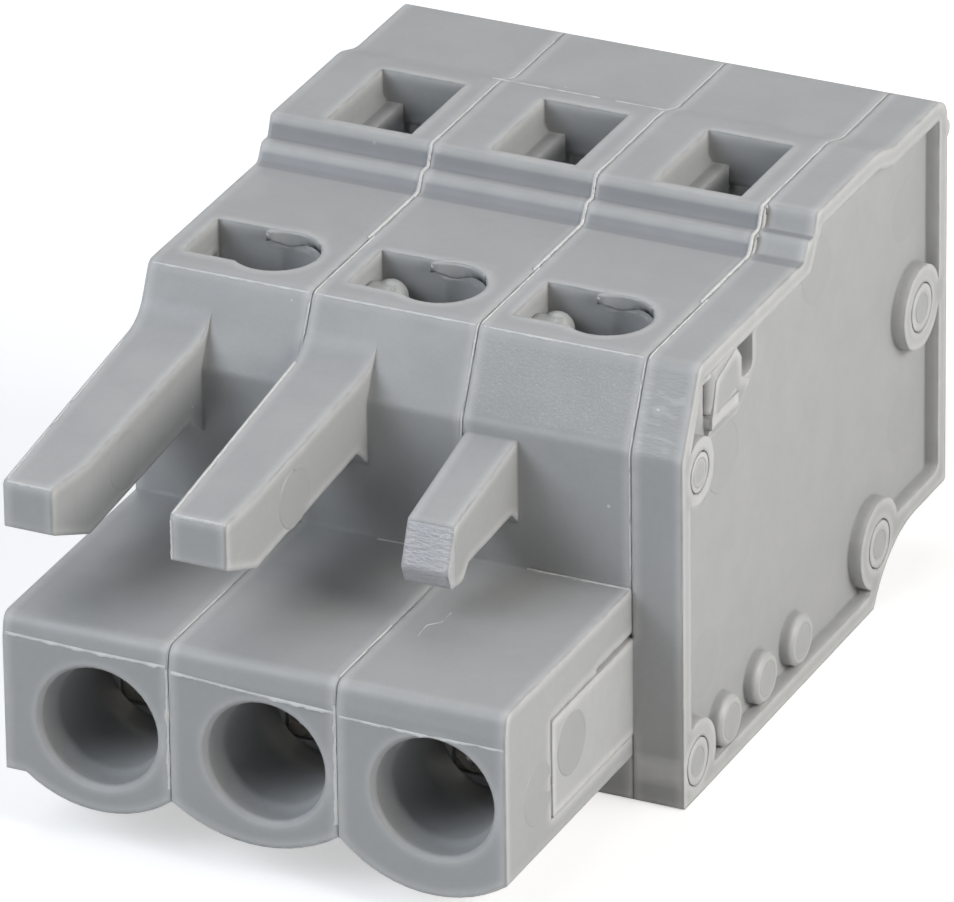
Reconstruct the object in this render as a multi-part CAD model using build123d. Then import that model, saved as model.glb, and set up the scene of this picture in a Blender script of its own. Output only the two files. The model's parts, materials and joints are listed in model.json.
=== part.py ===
"""Three pole pluggable female connector with cage clamp wire connection.

The connector is a stack of moulded pole housings, closed by an end cover. Each housing
has a round socket in its nose, a coding finger above the nose, a round test opening and a
square operating opening in its top, and a wire entry and an operating slot in its back.
Inside each housing lie a folded contact with its current bar, and a cage clamp spring.

Sizes are in millimetres. X runs across the poles towards the end cover, Y from the mating
face to the wire side and Z up. The origin is under the middle of the connector, on the
plane of its flat bottom.
"""

import os
from math import atan2, cos

from build123d import *

# Poles, across the connector
POLES = 3
PITCH = 5.0
COVER_THICKNESS = 1.5
SEAM_GAP = 0.03
LEFT_WALL = 1.0

# Body outline, seen from the side: depths from the mating face, heights from the bottom
WALL_FRONT = 8.15
BACK = 26.3
BACK_FOOT_HEIGHT = 1.74
BACK_FOOT_DEPTH = 1.0
BACK_FOOT_RUN = 4.1
BACK_FOOT_RADIUS = 3.35
BOTTOM_BACK = BACK - BACK_FOOT_RUN - BACK_FOOT_DEPTH
WALL_LEAN_DEPTH = 1.15
TOP_FRONT = WALL_FRONT + WALL_LEAN_DEPTH
FRONT_TOP_HEIGHT = 13.0
WALL_LEAN_HEIGHT = 2.4
WALL_KNEE_HEIGHT = FRONT_TOP_HEIGHT - WALL_LEAN_HEIGHT
RIDGE_FRONT = 17.0
RIDGE_RISE = 1.1
RIDGE_LEDGE_RISE = 0.5
RIDGE_HEIGHT = FRONT_TOP_HEIGHT + RIDGE_RISE
RIDGE_LEDGE_HEIGHT = FRONT_TOP_HEIGHT + RIDGE_LEDGE_RISE
RIDGE_LEAN = 0.22
LEDGE_WIDTH = 0.4
LEDGE_LEAN = 0.28
RAMP_LENGTH = 1.0
RAMP_RADIUS = 1.5
REAR_TOP_LENGTH = 3.8
RIDGE_BACK = BACK - REAR_TOP_LENGTH - RAMP_LENGTH
REAR_TOP_RISE = 0.78
REAR_TOP_HEIGHT = FRONT_TOP_HEIGHT + REAR_TOP_RISE
BACK_EDGE_RADIUS = 0.7
FRONT_EDGE_RADIUS = 0.3
SMALL_RADIUS = 0.12
SOFT_RADIUS = 0.24

# Nose with its socket
NOSE_TOP = 6.5
NOSE_LIP_DROP = 0.7
NOSE_LIP_HEIGHT = NOSE_TOP - NOSE_LIP_DROP
NOSE_LIP_LEAN = 0.12
NOSE_EDGE_RADIUS = 0.3
NOSE_SEAM_HEIGHT = 1.8
NOSE_FLOOR_HEIGHTS = (1.05, 1.05, 0.67)
NOSE_FLAT_WIDTHS = (0.6, 0.05, 0.05)
NOSE_END_HEIGHTS = (1.8, 1.8, 1.4)
BELLY_LOWEST_X = 2.93
SOCKET_X = 2.82
SOCKET_HEIGHT = 3.6
SOCKET_RADIUS = 1.77
SOCKET_STEP_DEPTH = 0.85
SOCKET_INNER_RADIUS = 1.61
SOCKET_DEPTH = 3.9
SOCKET_END_LAP = 0.1
SOCKET_MOUTH_CHAMFER = 0.1

# Tongue that closes the side of a nose, and the recess that takes it
TONGUE_FRONT = 2.9
TONGUE_SEAT = 1.5
TONGUE_BACK = WALL_FRONT + TONGUE_SEAT
TONGUE_BOTTOM = 2.05
TONGUE_TOP = 5.0
TONGUE_THICKNESS = 0.33
TONGUE_GAP = 0.04
RELIEF_FRONT = 5.85
RELIEF_HEIGHT = 0.16

# Long coding fingers of the first two poles, which hang at a set distance from the top
FINGER_TIP = 0.33
FINGER_DROP = 2.64
FINGER_TIP_TOP = FRONT_TOP_HEIGHT - FINGER_DROP
FINGER_SLOPE = 0.137
FINGER_TIP_HEIGHT = 1.36
FINGER_HEEL = 1.8
FINGER_HEEL_HEIGHT = 1.91
FINGER_ROOT_HEIGHT = 1.06
FINGER_ROOT_FILLET = 1.2
FINGER_ROOT_SPLAY = 0.6
FINGER_TIP_WIDTHS = (1.45, 1.65)
FINGER_HEEL_WIDTH = 1.82
FINGER_ROOT_WIDTH = 2.12

# Short barbed finger of the last pole, with its heights below the top of its tip
BARB_TIP_TOP_DEPTH = 4.4
BARB_DROP = 3.58
BARB_TIP_TOP = FRONT_TOP_HEIGHT - BARB_DROP
BARB_ROOT_RISE = 0.9
BARB_CHIN_DEPTH = 3.92
BARB_CHIN_HEIGHT = 1.22
BARB_TOE_DEPTH = 4.15
BARB_TOE_HEIGHT = 1.82
BARB_HEEL_DEPTH = 4.85
BARB_NECK_DEPTH = 5.2
BARB_NECK_HEIGHT = 1.42
BARB_ROOT_HEIGHT = 1.17
BARB_ROOT_SPLAY = 0.4
BARB_LEFT = 0.1
BARB_TIP_WIDTH = 1.38
BARB_ROOT_WIDTH = 1.52

# Test opening in the top, a round hole with a straight slot beside it
TEST_X = 2.95
TEST_SETBACK = 1.9
TEST_DEPTH = TOP_FRONT + TEST_SETBACK
TEST_RADIUS = 1.27
TEST_SLOT_WALL = 0.6
TEST_SLOT_FRONT_REACH = 1.0
TEST_SLOT_BACK_REACH = 1.2
TEST_SLOT_FRONT = TEST_DEPTH - TEST_SLOT_FRONT_REACH
TEST_SLOT_BACK = TEST_DEPTH + TEST_SLOT_BACK_REACH

# Square operating opening in the top, with a ledge along its left wall
OPERATE_LEFT = 1.6
OPERATE_RIGHT = 4.17
OPERATE_FRONT_WALL = 0.35
OPERATE_BACK_WALL = 0.6
OPERATE_FRONT = RIDGE_FRONT + OPERATE_FRONT_WALL
OPERATE_BACK = RIDGE_BACK - OPERATE_BACK_WALL
LEDGE_RIGHT = 2.2
LEDGE_DROP = 1.05
LEDGE_TOP = RIDGE_HEIGHT - LEDGE_DROP
LEDGE_THICKNESS = 1.05
LEDGE_BOTTOM = LEDGE_TOP - LEDGE_THICKNESS
LEDGE_FILLET = 0.4

# Wire entry and operating slot in the back
WIRE_X = 2.8
WIRE_HEIGHT = 5.7
WIRE_RADIUS = 1.45
FUNNEL_RADIUS = 1.95
FUNNEL_LENGTH = 1.2
SLOT_WIDTH = 2.7
SLOT_HEIGHT = 2.65
SLOT_TOP_DROP = 1.78
SLOT_TOP = REAR_TOP_HEIGHT - SLOT_TOP_DROP
SLOT_BOTTOM = SLOT_TOP - SLOT_HEIGHT

# Clamp room inside a housing
FRONT_WALL = 1.25
ROOM_FRONT = WALL_FRONT + FRONT_WALL
BACK_WALL = 3.9
ROOM_BACK = BACK - BACK_WALL
ROOM_FLOOR = 1.5
FLOOR_END_WALL = 1.8
ROOM_FLOOR_BACK = BOTTOM_BACK - FLOOR_END_WALL
ROOM_BACK_FLOOR = 4.4
ROOM_FRONT_CEILING = 10.9
ROOF_THICKNESS = 1.55
ROOM_CEILING = RIDGE_HEIGHT - ROOF_THICKNESS
CEILING_STEP_FRONT = 13.6
CEILING_STEP_LEAD = 0.45
CEILING_STEP_BACK = OPERATE_FRONT - CEILING_STEP_LEAD
WIRE_STOP_DEPTH = 12.3
WIRE_STOP_THICKNESS = 0.9

# Pins on the right side of a housing and their holes in the next piece
PIN_INSETS = (1.15, 0.95, 1.75, 0.4)
PIN_HEIGHTS = (9.81, 1.09, 7.94, 1.88)
PIN_DEPTHS = (
    WALL_FRONT + PIN_INSETS[0],
    WALL_FRONT + PIN_INSETS[1],
    BACK - PIN_INSETS[2],
    BOTTOM_BACK + PIN_INSETS[3],
)
PIN_PLACES = tuple(zip(PIN_DEPTHS, PIN_HEIGHTS))
PIN_RADII = (0.57, 0.67, 0.69, 0.69)
PIN_CLEARANCE = 0.05
PIN_END_GAP = 0.05
POST_WALL = 0.34

# Snap hook on the right side of a housing and its window in the next piece
HOOK_FRONT_GAP = 0.25
HOOK_BACK_GAP = 0.15
HOOK_FRONT = TEST_SLOT_FRONT + HOOK_FRONT_GAP
HOOK_BACK = TEST_SLOT_BACK - HOOK_BACK_GAP
HOOK_DROP = 0.58
HOOK_TOP = FRONT_TOP_HEIGHT - HOOK_DROP
HOOK_HEAD_RISE = 0.42
HOOK_NECK_TOP = HOOK_TOP - HOOK_HEAD_RISE
HOOK_NECK_HEIGHT = 1.05
HOOK_BOTTOM = HOOK_NECK_TOP - HOOK_NECK_HEIGHT
HOOK_LENGTH = 1.35
HOOK_CORNER_RADIUS = 0.8
HOOK_END_RADIUS = 0.25
HOOK_GAP = 0.05

# End cover
RIM_WIDTH = 0.55
RIM_HEIGHT = 0.4
COVER_SETBACK = 0.25
BOSS_RADII = (1.0, 1.21, 1.25, 1.33)
KNOB_PLACES = ((11.4, 1.22), (13.82, 1.36), (16.26, 1.38))
KNOB_RADIUS = 0.76
KNOB_CHAMFER = 0.12
POCKET_RUN = 1.47
POCKET_BACK = HOOK_BACK + POCKET_RUN
POCKET_RADIUS = 0.3
PAD_HEIGHT = 0.45
PAD_BRIDGE_DROP = 0.27
BEAD_DROP = 1.03
BEAD_HEIGHT = REAR_TOP_HEIGHT - BEAD_DROP
BEAD_RADIUS = 0.3
BEAD_SINK = 0.12

# Contact, folded from one sheet, with the current bar in one piece
SHEET = 0.4
CONTACT_FRONT_GAP = 0.1
CONTACT_FRONT = SOCKET_DEPTH + CONTACT_FRONT_GAP
CONTACT_LENGTH = 4.8
CONTACT_BACK = CONTACT_FRONT + CONTACT_LENGTH
CONTACT_WIDTH = 2.5
CONTACT_HEIGHT = 2.6
CONTACT_CLEARANCE = 0.05
LEAF_GAP = 0.9
LEAF_LEAD = 2.4
LEAF_NARROW_DEPTH = CONTACT_FRONT + LEAF_LEAD
LEAF_THICKNESS = 0.25
LEAF_HEIGHT = 1.5
BAR_THICKNESS = 0.5
BAR_OVER_WIRE = 1.3
BAR_BOTTOM = WIRE_HEIGHT + BAR_OVER_WIRE
BAR_RISE_LEAD = 1.1
BAR_RISE_LENGTH = 1.4
BAR_RISE_FRONT = CONTACT_BACK + BAR_RISE_LEAD
BAR_RISE_BACK = BAR_RISE_FRONT + BAR_RISE_LENGTH
BAR_BEND_RADIUS = 0.8
CAGE_BACK_GAP = 1.45
CAGE_DEPTH = ROOM_BACK - CAGE_BACK_GAP
BAR_SHOULDER_GAP = 0.65
BAR_TIP_LENGTH = 1.7
BAR_SHOULDER = CAGE_DEPTH - BAR_SHOULDER_GAP
BAR_END = BAR_SHOULDER + BAR_TIP_LENGTH
BAR_TIP_WIDTH = 1.6

# Cage clamp spring, bent from one strip
STRIP = 0.35
STRIP_WIDTH = 2.9
STRIP_GAP = 0.02
LOOP_DEPTH = 13.4
LOOP_RADIUS = 1.25
FOOT_LENGTH = 4.1
FOOT_BACK = LOOP_DEPTH + FOOT_LENGTH
CAGE_TOP_GAP = 1.2
CAGE_TOP = ROOM_CEILING - CAGE_TOP_GAP
CAGE_LIP = 0.9
CAGE_BOTTOM = BAR_BOTTOM - CAGE_LIP
CAGE_BEND_RADIUS = 0.6
CAGE_WINDOW_WIDTH = 1.9
CAGE_BRIDGE = 1.25
CAGE_WINDOW_TOP = CAGE_TOP - CAGE_BRIDGE
CAGE_EDGE_GAP = 0.04

# Overall width and depth give the place of the origin
OVERALL_WIDTH = POLES * PITCH + COVER_THICKNESS
OVERALL_DEPTH = BACK + BEAD_RADIUS - BEAD_SINK
FRAME = Location((-OVERALL_WIDTH / 2, -OVERALL_DEPTH / 2, 0))

# Tools are cut this much longer than the wall they pass through
OVERCUT = 0.5


def block(x_span, y_span, z_span):
    """A box between two limits on each axis."""
    low = Vector(x_span[0], y_span[0], z_span[0])
    size = Vector(x_span[1], y_span[1], z_span[1]) - low
    return Pos(low + size * 0.5) * Box(size.X, size.Y, size.Z)


def rod_across(y, z, radius, x_span):
    """A cylinder along X between two limits."""
    length = x_span[1] - x_span[0]
    turned = Rot(0, 90, 0) * Cylinder(radius, length)
    return Pos((x_span[0] + x_span[1]) / 2, y, z) * turned


def rod_along(x, z, radius, y_span, end_radius=None):
    """A cylinder or cone along Y between two limits, with its first radius at the front."""
    length = y_span[1] - y_span[0]
    if end_radius is None:
        shape = Cylinder(radius, length)
    else:
        shape = Cone(radius, end_radius, length)
    return Pos(x, (y_span[0] + y_span[1]) / 2, z) * Rot(-90, 0, 0) * shape


def side_plate(corners, x_span):
    """A plate whose outline in Y and Z has a rounding radius at each corner."""
    points = [(y, z) for y, z, radius in corners]
    radii = [radius for y, z, radius in corners]
    outline = FilletPolyline(*points, radius=radii, close=True)
    face = Plane.YZ.offset(x_span[0]) * make_face(outline)
    return extrude(face, amount=x_span[1] - x_span[0], dir=(1, 0, 0))


def front_plate(corners, y_span):
    """A plate whose outline in X and Z has a rounding radius at each corner."""
    points = [(x, z) for x, z, radius in corners]
    radii = [radius for x, z, radius in corners]
    outline = FilletPolyline(*points, radius=radii, close=True)
    front = Plane(origin=(0, y_span[0], 0), x_dir=(1, 0, 0), z_dir=(0, -1, 0))
    return extrude(front * make_face(outline), amount=y_span[1] - y_span[0], dir=(0, 1, 0))


def plan_plate(points, z_span):
    """A plate with a straight sided outline in X and Y."""
    face = Plane.XY.offset(z_span[0]) * make_face(Polyline(*points, close=True))
    return extrude(face, amount=z_span[1] - z_span[0], dir=(0, 0, 1))


def one_solid(shape):
    """The single solid of a finished piece."""
    return shape.solids()[0]


def body_corners(ridge_front):
    """Corners of the body's side outline, from the bottom front round to the knee."""
    ledge_back = ridge_front - RIDGE_LEAN
    ledge_front = ledge_back - LEDGE_WIDTH
    return [
        (WALL_FRONT, 0, SMALL_RADIUS),
        (BOTTOM_BACK, 0, 0),
        (BOTTOM_BACK + BACK_FOOT_DEPTH, BACK_FOOT_HEIGHT, BACK_FOOT_RADIUS),
        (BACK, BACK_FOOT_HEIGHT, SMALL_RADIUS),
        (BACK, REAR_TOP_HEIGHT, BACK_EDGE_RADIUS),
        (RIDGE_BACK + RAMP_LENGTH, REAR_TOP_HEIGHT, RAMP_RADIUS),
        (RIDGE_BACK, RIDGE_HEIGHT, RAMP_RADIUS),
        (ridge_front, RIDGE_HEIGHT, SMALL_RADIUS),
        (ledge_back, RIDGE_LEDGE_HEIGHT, SMALL_RADIUS),
        (ledge_front, RIDGE_LEDGE_HEIGHT, SMALL_RADIUS),
        (ledge_front - LEDGE_LEAN, FRONT_TOP_HEIGHT, SOFT_RADIUS),
        (TOP_FRONT, FRONT_TOP_HEIGHT, FRONT_EDGE_RADIUS),
        (WALL_FRONT, WALL_KNEE_HEIGHT, FRONT_EDGE_RADIUS),
    ]


def wall_depth_at(height):
    """Depth of the leaning front wall at a height above its knee."""
    share = (height - WALL_KNEE_HEIGHT) / (FRONT_TOP_HEIGHT - WALL_KNEE_HEIGHT)
    return WALL_FRONT + share * (TOP_FRONT - WALL_FRONT)


def nose_block(pole):
    """The nose of one pole with its rounded belly, without its socket."""
    right = PITCH - SEAM_GAP
    flat_end = NOSE_FLAT_WIDTHS[pole]
    floor = NOSE_FLOOR_HEIGHTS[pole]
    end = NOSE_END_HEIGHTS[pole]
    belly = ThreePointArc((flat_end, NOSE_SEAM_HEIGHT), (BELLY_LOWEST_X, floor), (right, end))
    rest = Polyline(
        (right, end),
        (right, NOSE_TOP),
        (0, NOSE_TOP),
        (0, NOSE_SEAM_HEIGHT),
        (flat_end, NOSE_SEAM_HEIGHT),
    )
    section = make_face([belly, rest])
    front_plane = Plane(origin=(0, 0, 0), x_dir=(1, 0, 0), z_dir=(0, -1, 0))
    root = (WALL_FRONT + ROOM_FRONT) / 2
    prism = extrude(front_plane * section, amount=root, dir=(0, 1, 0))
    side = side_plate(
        [
            (0, 0, 0),
            (root, 0, 0),
            (root, NOSE_TOP, 0),
            (NOSE_LIP_LEAN, NOSE_TOP, NOSE_EDGE_RADIUS),
            (0, NOSE_LIP_HEIGHT, 0),
        ],
        (0, PITCH),
    )
    return prism & side


def socket_cut():
    """The round socket, which steps in a little and has a softened mouth."""
    mouth = rod_along(
        SOCKET_X,
        SOCKET_HEIGHT,
        SOCKET_RADIUS + 2 * SOCKET_MOUTH_CHAMFER,
        (-SOCKET_MOUTH_CHAMFER, SOCKET_MOUTH_CHAMFER),
        SOCKET_RADIUS,
    )
    bore = rod_along(SOCKET_X, SOCKET_HEIGHT, SOCKET_RADIUS, (0, SOCKET_STEP_DEPTH))
    inner = rod_along(SOCKET_X, SOCKET_HEIGHT, SOCKET_INNER_RADIUS, (0, SOCKET_DEPTH))
    return mouth + bore + inner


def tongue(right):
    """The tongue that closes the side of a nose, with its outer face at a given X."""
    return side_plate(
        [
            (TONGUE_FRONT, TONGUE_BOTTOM, SMALL_RADIUS),
            (TONGUE_BACK, TONGUE_BOTTOM, 0),
            (TONGUE_BACK, TONGUE_TOP, 0),
            (TONGUE_FRONT, TONGUE_TOP, SMALL_RADIUS),
        ],
        (right - TONGUE_THICKNESS, right),
    )


def tongue_recess():
    """The recess in the side of a nose that takes the next piece's tongue."""
    left = PITCH - TONGUE_THICKNESS - TONGUE_GAP
    right = PITCH + OVERCUT
    main = block(
        (left, right),
        (TONGUE_FRONT - TONGUE_GAP, TONGUE_BACK + TONGUE_GAP),
        (TONGUE_BOTTOM - TONGUE_GAP, TONGUE_TOP + TONGUE_GAP),
    )
    relief = block(
        (left, right),
        (RELIEF_FRONT, TONGUE_BACK),
        (TONGUE_BOTTOM, TONGUE_TOP + RELIEF_HEIGHT),
    )
    return main + relief


def long_finger(pole):
    """A long coding finger, which tapers towards its tip and flows into the wall."""
    root_top = FINGER_TIP_TOP + FINGER_SLOPE * (WALL_FRONT + FINGER_ROOT_SPLAY - FINGER_TIP)
    root_bottom = FINGER_TIP_TOP - FINGER_ROOT_HEIGHT
    root_end = FRONT_TOP_HEIGHT - 2 * FRONT_EDGE_RADIUS
    side = side_plate(
        [
            (FINGER_TIP, FINGER_TIP_TOP - FINGER_TIP_HEIGHT, SMALL_RADIUS),
            (FINGER_HEEL, FINGER_TIP_TOP - FINGER_HEEL_HEIGHT, SOFT_RADIUS),
            (WALL_FRONT - FINGER_ROOT_SPLAY, root_bottom, SOFT_RADIUS),
            (WALL_FRONT, root_bottom - FINGER_ROOT_SPLAY, 0),
            (ROOM_FRONT, root_bottom - FINGER_ROOT_SPLAY, 0),
            (ROOM_FRONT, root_end, 0),
            (wall_depth_at(root_end), root_end, 0),
            (wall_depth_at(root_top), root_top, FINGER_ROOT_FILLET),
            (FINGER_TIP, FINGER_TIP_TOP, SMALL_RADIUS),
        ],
        (0, PITCH),
    )
    plan = plan_plate(
        [
            (0, 0),
            (FINGER_TIP_WIDTHS[pole], 0),
            (FINGER_TIP_WIDTHS[pole], FINGER_TIP),
            (FINGER_HEEL_WIDTH, FINGER_HEEL),
            (FINGER_ROOT_WIDTH, WALL_FRONT),
            (FINGER_ROOT_WIDTH, ROOM_FRONT),
            (0, ROOM_FRONT),
        ],
        (0, FRONT_TOP_HEIGHT),
    )
    return side & plan


def barbed_finger():
    """The short finger of the last pole, with a leaning front and a barb under its tip."""
    root_top = BARB_TIP_TOP + BARB_ROOT_RISE
    root_bottom = BARB_TIP_TOP - BARB_ROOT_HEIGHT
    side = side_plate(
        [
            (BARB_CHIN_DEPTH, BARB_TIP_TOP - BARB_CHIN_HEIGHT, SMALL_RADIUS),
            (BARB_TOE_DEPTH, BARB_TIP_TOP - BARB_TOE_HEIGHT, SOFT_RADIUS),
            (BARB_HEEL_DEPTH, BARB_TIP_TOP - BARB_TOE_HEIGHT, SMALL_RADIUS),
            (BARB_NECK_DEPTH, BARB_TIP_TOP - BARB_NECK_HEIGHT, SMALL_RADIUS),
            (WALL_FRONT - BARB_ROOT_SPLAY, root_bottom, SOFT_RADIUS),
            (WALL_FRONT, root_bottom - BARB_ROOT_SPLAY, 0),
            (ROOM_FRONT, root_bottom - BARB_ROOT_SPLAY, 0),
            (ROOM_FRONT, root_top, 0),
            (WALL_FRONT, root_top, 0),
            (BARB_TIP_TOP_DEPTH, BARB_TIP_TOP, SMALL_RADIUS),
        ],
        (0, PITCH),
    )
    plan = plan_plate(
        [
            (BARB_LEFT, 0),
            (BARB_LEFT + BARB_TIP_WIDTH, 0),
            (BARB_LEFT + BARB_TIP_WIDTH, BARB_TIP_TOP_DEPTH),
            (BARB_LEFT + BARB_ROOT_WIDTH, WALL_FRONT),
            (BARB_LEFT + BARB_ROOT_WIDTH, ROOM_FRONT),
            (BARB_LEFT, ROOM_FRONT),
        ],
        (0, FRONT_TOP_HEIGHT),
    )
    return side & plan


def room_cut():
    """The clamp room, open to the right, with its square posts and wire stop left standing."""
    span = (LEFT_WALL, PITCH + OVERCUT)
    room = side_plate(
        [
            (ROOM_FRONT, ROOM_FLOOR, 0),
            (ROOM_FLOOR_BACK, ROOM_FLOOR, 0),
            (ROOM_BACK, ROOM_BACK_FLOOR, 0),
            (ROOM_BACK, ROOM_CEILING, 0),
            (CEILING_STEP_BACK, ROOM_CEILING, 0),
            (CEILING_STEP_FRONT, ROOM_FRONT_CEILING, 0),
            (ROOM_FRONT, ROOM_FRONT_CEILING, 0),
        ],
        span,
    )
    for (y, z), radius in zip(PIN_PLACES, PIN_RADII):
        reach = radius + POST_WALL
        room -= block(span, (y - reach, y + reach), (z - reach, z + reach))
    room -= block(
        span,
        (WIRE_STOP_DEPTH, WIRE_STOP_DEPTH + WIRE_STOP_THICKNESS),
        (ROOM_FLOOR - OVERCUT, BAR_BOTTOM - CONTACT_CLEARANCE),
    )
    room -= block(
        (LEFT_WALL, LEDGE_RIGHT),
        (OPERATE_FRONT - OVERCUT, OPERATE_BACK + OVERCUT),
        (LEDGE_BOTTOM, RIDGE_HEIGHT),
    )
    return room


def channel_cut():
    """The channel for the contact's box, from the socket to the clamp room."""
    half = CONTACT_WIDTH / 2 + CONTACT_CLEARANCE
    reach = CONTACT_HEIGHT / 2 + CONTACT_CLEARANCE
    return block(
        (SOCKET_X - half, PITCH + OVERCUT),
        (SOCKET_DEPTH - SOCKET_END_LAP, ROOM_FRONT + OVERCUT),
        (SOCKET_HEIGHT - reach, SOCKET_HEIGHT + reach),
    )


def test_opening_cut():
    """The round test opening with the straight slot that reaches towards the left wall."""
    span = (ROOM_FRONT_CEILING - OVERCUT, FRONT_TOP_HEIGHT + OVERCUT)
    height = span[1] - span[0]
    hole = Pos(TEST_X, TEST_DEPTH, (span[0] + span[1]) / 2) * Cylinder(TEST_RADIUS, height)
    slot = block((TEST_SLOT_WALL, TEST_X), (TEST_SLOT_FRONT, TEST_SLOT_BACK), span)
    return hole + slot


def operating_opening_cut():
    """The square operating opening, less the filleted ledge along its left wall."""
    low = min(LEDGE_BOTTOM, ROOM_CEILING) - OVERCUT
    high = RIDGE_HEIGHT + OVERCUT
    return front_plate(
        [
            (OPERATE_LEFT, high, 0),
            (OPERATE_LEFT, LEDGE_TOP, LEDGE_FILLET),
            (LEDGE_RIGHT, LEDGE_TOP, SMALL_RADIUS),
            (LEDGE_RIGHT, low, 0),
            (OPERATE_RIGHT, low, 0),
            (OPERATE_RIGHT, high, 0),
        ],
        (OPERATE_FRONT, OPERATE_BACK),
    )


def wire_side_cut():
    """The funnelled wire entry and the operating slot in the back wall."""
    bore = rod_along(WIRE_X, WIRE_HEIGHT, WIRE_RADIUS, (ROOM_BACK - OVERCUT, BACK + OVERCUT))
    funnel = rod_along(
        WIRE_X, WIRE_HEIGHT, WIRE_RADIUS, (BACK - FUNNEL_LENGTH, BACK), FUNNEL_RADIUS
    )
    slot = block(
        (WIRE_X - SLOT_WIDTH / 2, WIRE_X + SLOT_WIDTH / 2),
        (ROOM_BACK - OVERCUT, BACK + OVERCUT),
        (SLOT_BOTTOM, SLOT_TOP),
    )
    return bore + funnel + slot


def hook():
    """The snap hook on the right side of a housing: a neck and a raised, rounded head."""
    span = (PITCH - OVERCUT, PITCH + HOOK_LENGTH)
    arm = block(span, (HOOK_FRONT, HOOK_BACK), (HOOK_BOTTOM, HOOK_TOP))
    end_edges = arm.edges().filter_by(Axis.Z).sort_by(Axis.X)[-2:]
    arm = fillet(end_edges, HOOK_END_RADIUS)
    profile = side_plate(
        [
            (HOOK_FRONT, HOOK_BOTTOM, 0),
            (HOOK_BACK, HOOK_BOTTOM, 0),
            (HOOK_BACK, HOOK_TOP, HOOK_CORNER_RADIUS),
            (HOOK_FRONT, HOOK_TOP, SMALL_RADIUS),
        ],
        span,
    )
    notch = block(
        (PITCH - SEAM_GAP, PITCH + TEST_SLOT_WALL + HOOK_GAP),
        (HOOK_FRONT - OVERCUT, HOOK_BACK + OVERCUT),
        (HOOK_NECK_TOP, HOOK_TOP + OVERCUT),
    )
    return (arm & profile) - notch


def hook_window(x_span):
    """The window in a side wall that the hook's neck passes through."""
    return block(
        x_span,
        (HOOK_FRONT - HOOK_GAP, HOOK_BACK + HOOK_GAP),
        (HOOK_BOTTOM - HOOK_GAP, HOOK_NECK_TOP + HOOK_GAP),
    )


def side_pins():
    """The round pins on the right side of a housing."""
    pins = [
        rod_across(y, z, radius, (PITCH - OVERCUT, PITCH + COVER_THICKNESS))
        for (y, z), radius in zip(PIN_PLACES, PIN_RADII)
    ]
    return pins


def pin_holes(x_span):
    """Holes for the neighbour's pins."""
    return [
        rod_across(y, z, radius + PIN_CLEARANCE, x_span)
        for (y, z), radius in zip(PIN_PLACES, PIN_RADII)
    ]


def pole_housing(pole):
    """One moulded housing, from its left face at X = 0 to its right face by the next seam."""
    shape = side_plate(body_corners(RIDGE_FRONT), (0, PITCH - SEAM_GAP)) + nose_block(pole)
    if pole == POLES - 1:
        shape += barbed_finger()
    else:
        shape += long_finger(pole)
    shape -= socket_cut()
    shape -= room_cut()
    shape -= channel_cut()
    shape -= tongue_recess()
    shape -= test_opening_cut()
    shape -= operating_opening_cut()
    shape -= wire_side_cut()
    shape -= hook_window((-OVERCUT, TEST_SLOT_WALL + HOOK_GAP))
    for hole in pin_holes((-OVERCUT, COVER_THICKNESS + PIN_END_GAP)):
        shape -= hole
    for pin in side_pins():
        shape += pin
    shape += hook()
    if pole > 0:
        shape += tongue(0)
    return one_solid(Pos(pole * PITCH, 0, 0) * shape)


def cover_recess_corners():
    """Corners of the cover's sunk face, a rim's width inside its outline."""
    rim = RIM_WIDTH
    return [
        (WALL_FRONT + rim, rim, SMALL_RADIUS),
        (BOTTOM_BACK - rim / 2, rim, SOFT_RADIUS),
        (BOTTOM_BACK + BACK_FOOT_DEPTH, BACK_FOOT_HEIGHT + rim, BACK_FOOT_RADIUS / 2),
        (BACK - rim, BACK_FOOT_HEIGHT + rim, SOFT_RADIUS),
        (BACK - rim, REAR_TOP_HEIGHT - rim, SMALL_RADIUS),
        (RIDGE_BACK + RAMP_LENGTH, REAR_TOP_HEIGHT - rim, SMALL_RADIUS),
        (RIDGE_BACK, RIDGE_HEIGHT - rim, SMALL_RADIUS),
        (RIDGE_FRONT + rim, RIDGE_HEIGHT - rim, SMALL_RADIUS),
        (RIDGE_FRONT - rim / 2, FRONT_TOP_HEIGHT - rim, SMALL_RADIUS),
        (TOP_FRONT + rim / 2, FRONT_TOP_HEIGHT - rim, SMALL_RADIUS),
        (WALL_FRONT + rim, WALL_KNEE_HEIGHT, SMALL_RADIUS),
    ]


def knob(place, face, end):
    """A round knob on the cover with a chamfered end."""
    y, z = place
    shape = rod_across(y, z, KNOB_RADIUS, (face - OVERCUT / 2, end))
    rim_edge = shape.edges().filter_by(GeomType.CIRCLE).sort_by(Axis.X)[-1]
    return chamfer(rim_edge, KNOB_CHAMFER)


def hook_pocket(left, right):
    """The pocket in the cover that the last hook ends in, open behind the hook's head."""
    return side_plate(
        [
            (HOOK_FRONT - HOOK_GAP, HOOK_BOTTOM - HOOK_GAP, 0),
            (POCKET_BACK, HOOK_BOTTOM - HOOK_GAP, POCKET_RADIUS),
            (POCKET_BACK, FRONT_TOP_HEIGHT - RIM_WIDTH, 0),
            (HOOK_FRONT - HOOK_GAP, FRONT_TOP_HEIGHT - RIM_WIDTH, 0),
        ],
        (left + TEST_SLOT_WALL, right + OVERCUT),
    )


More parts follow.
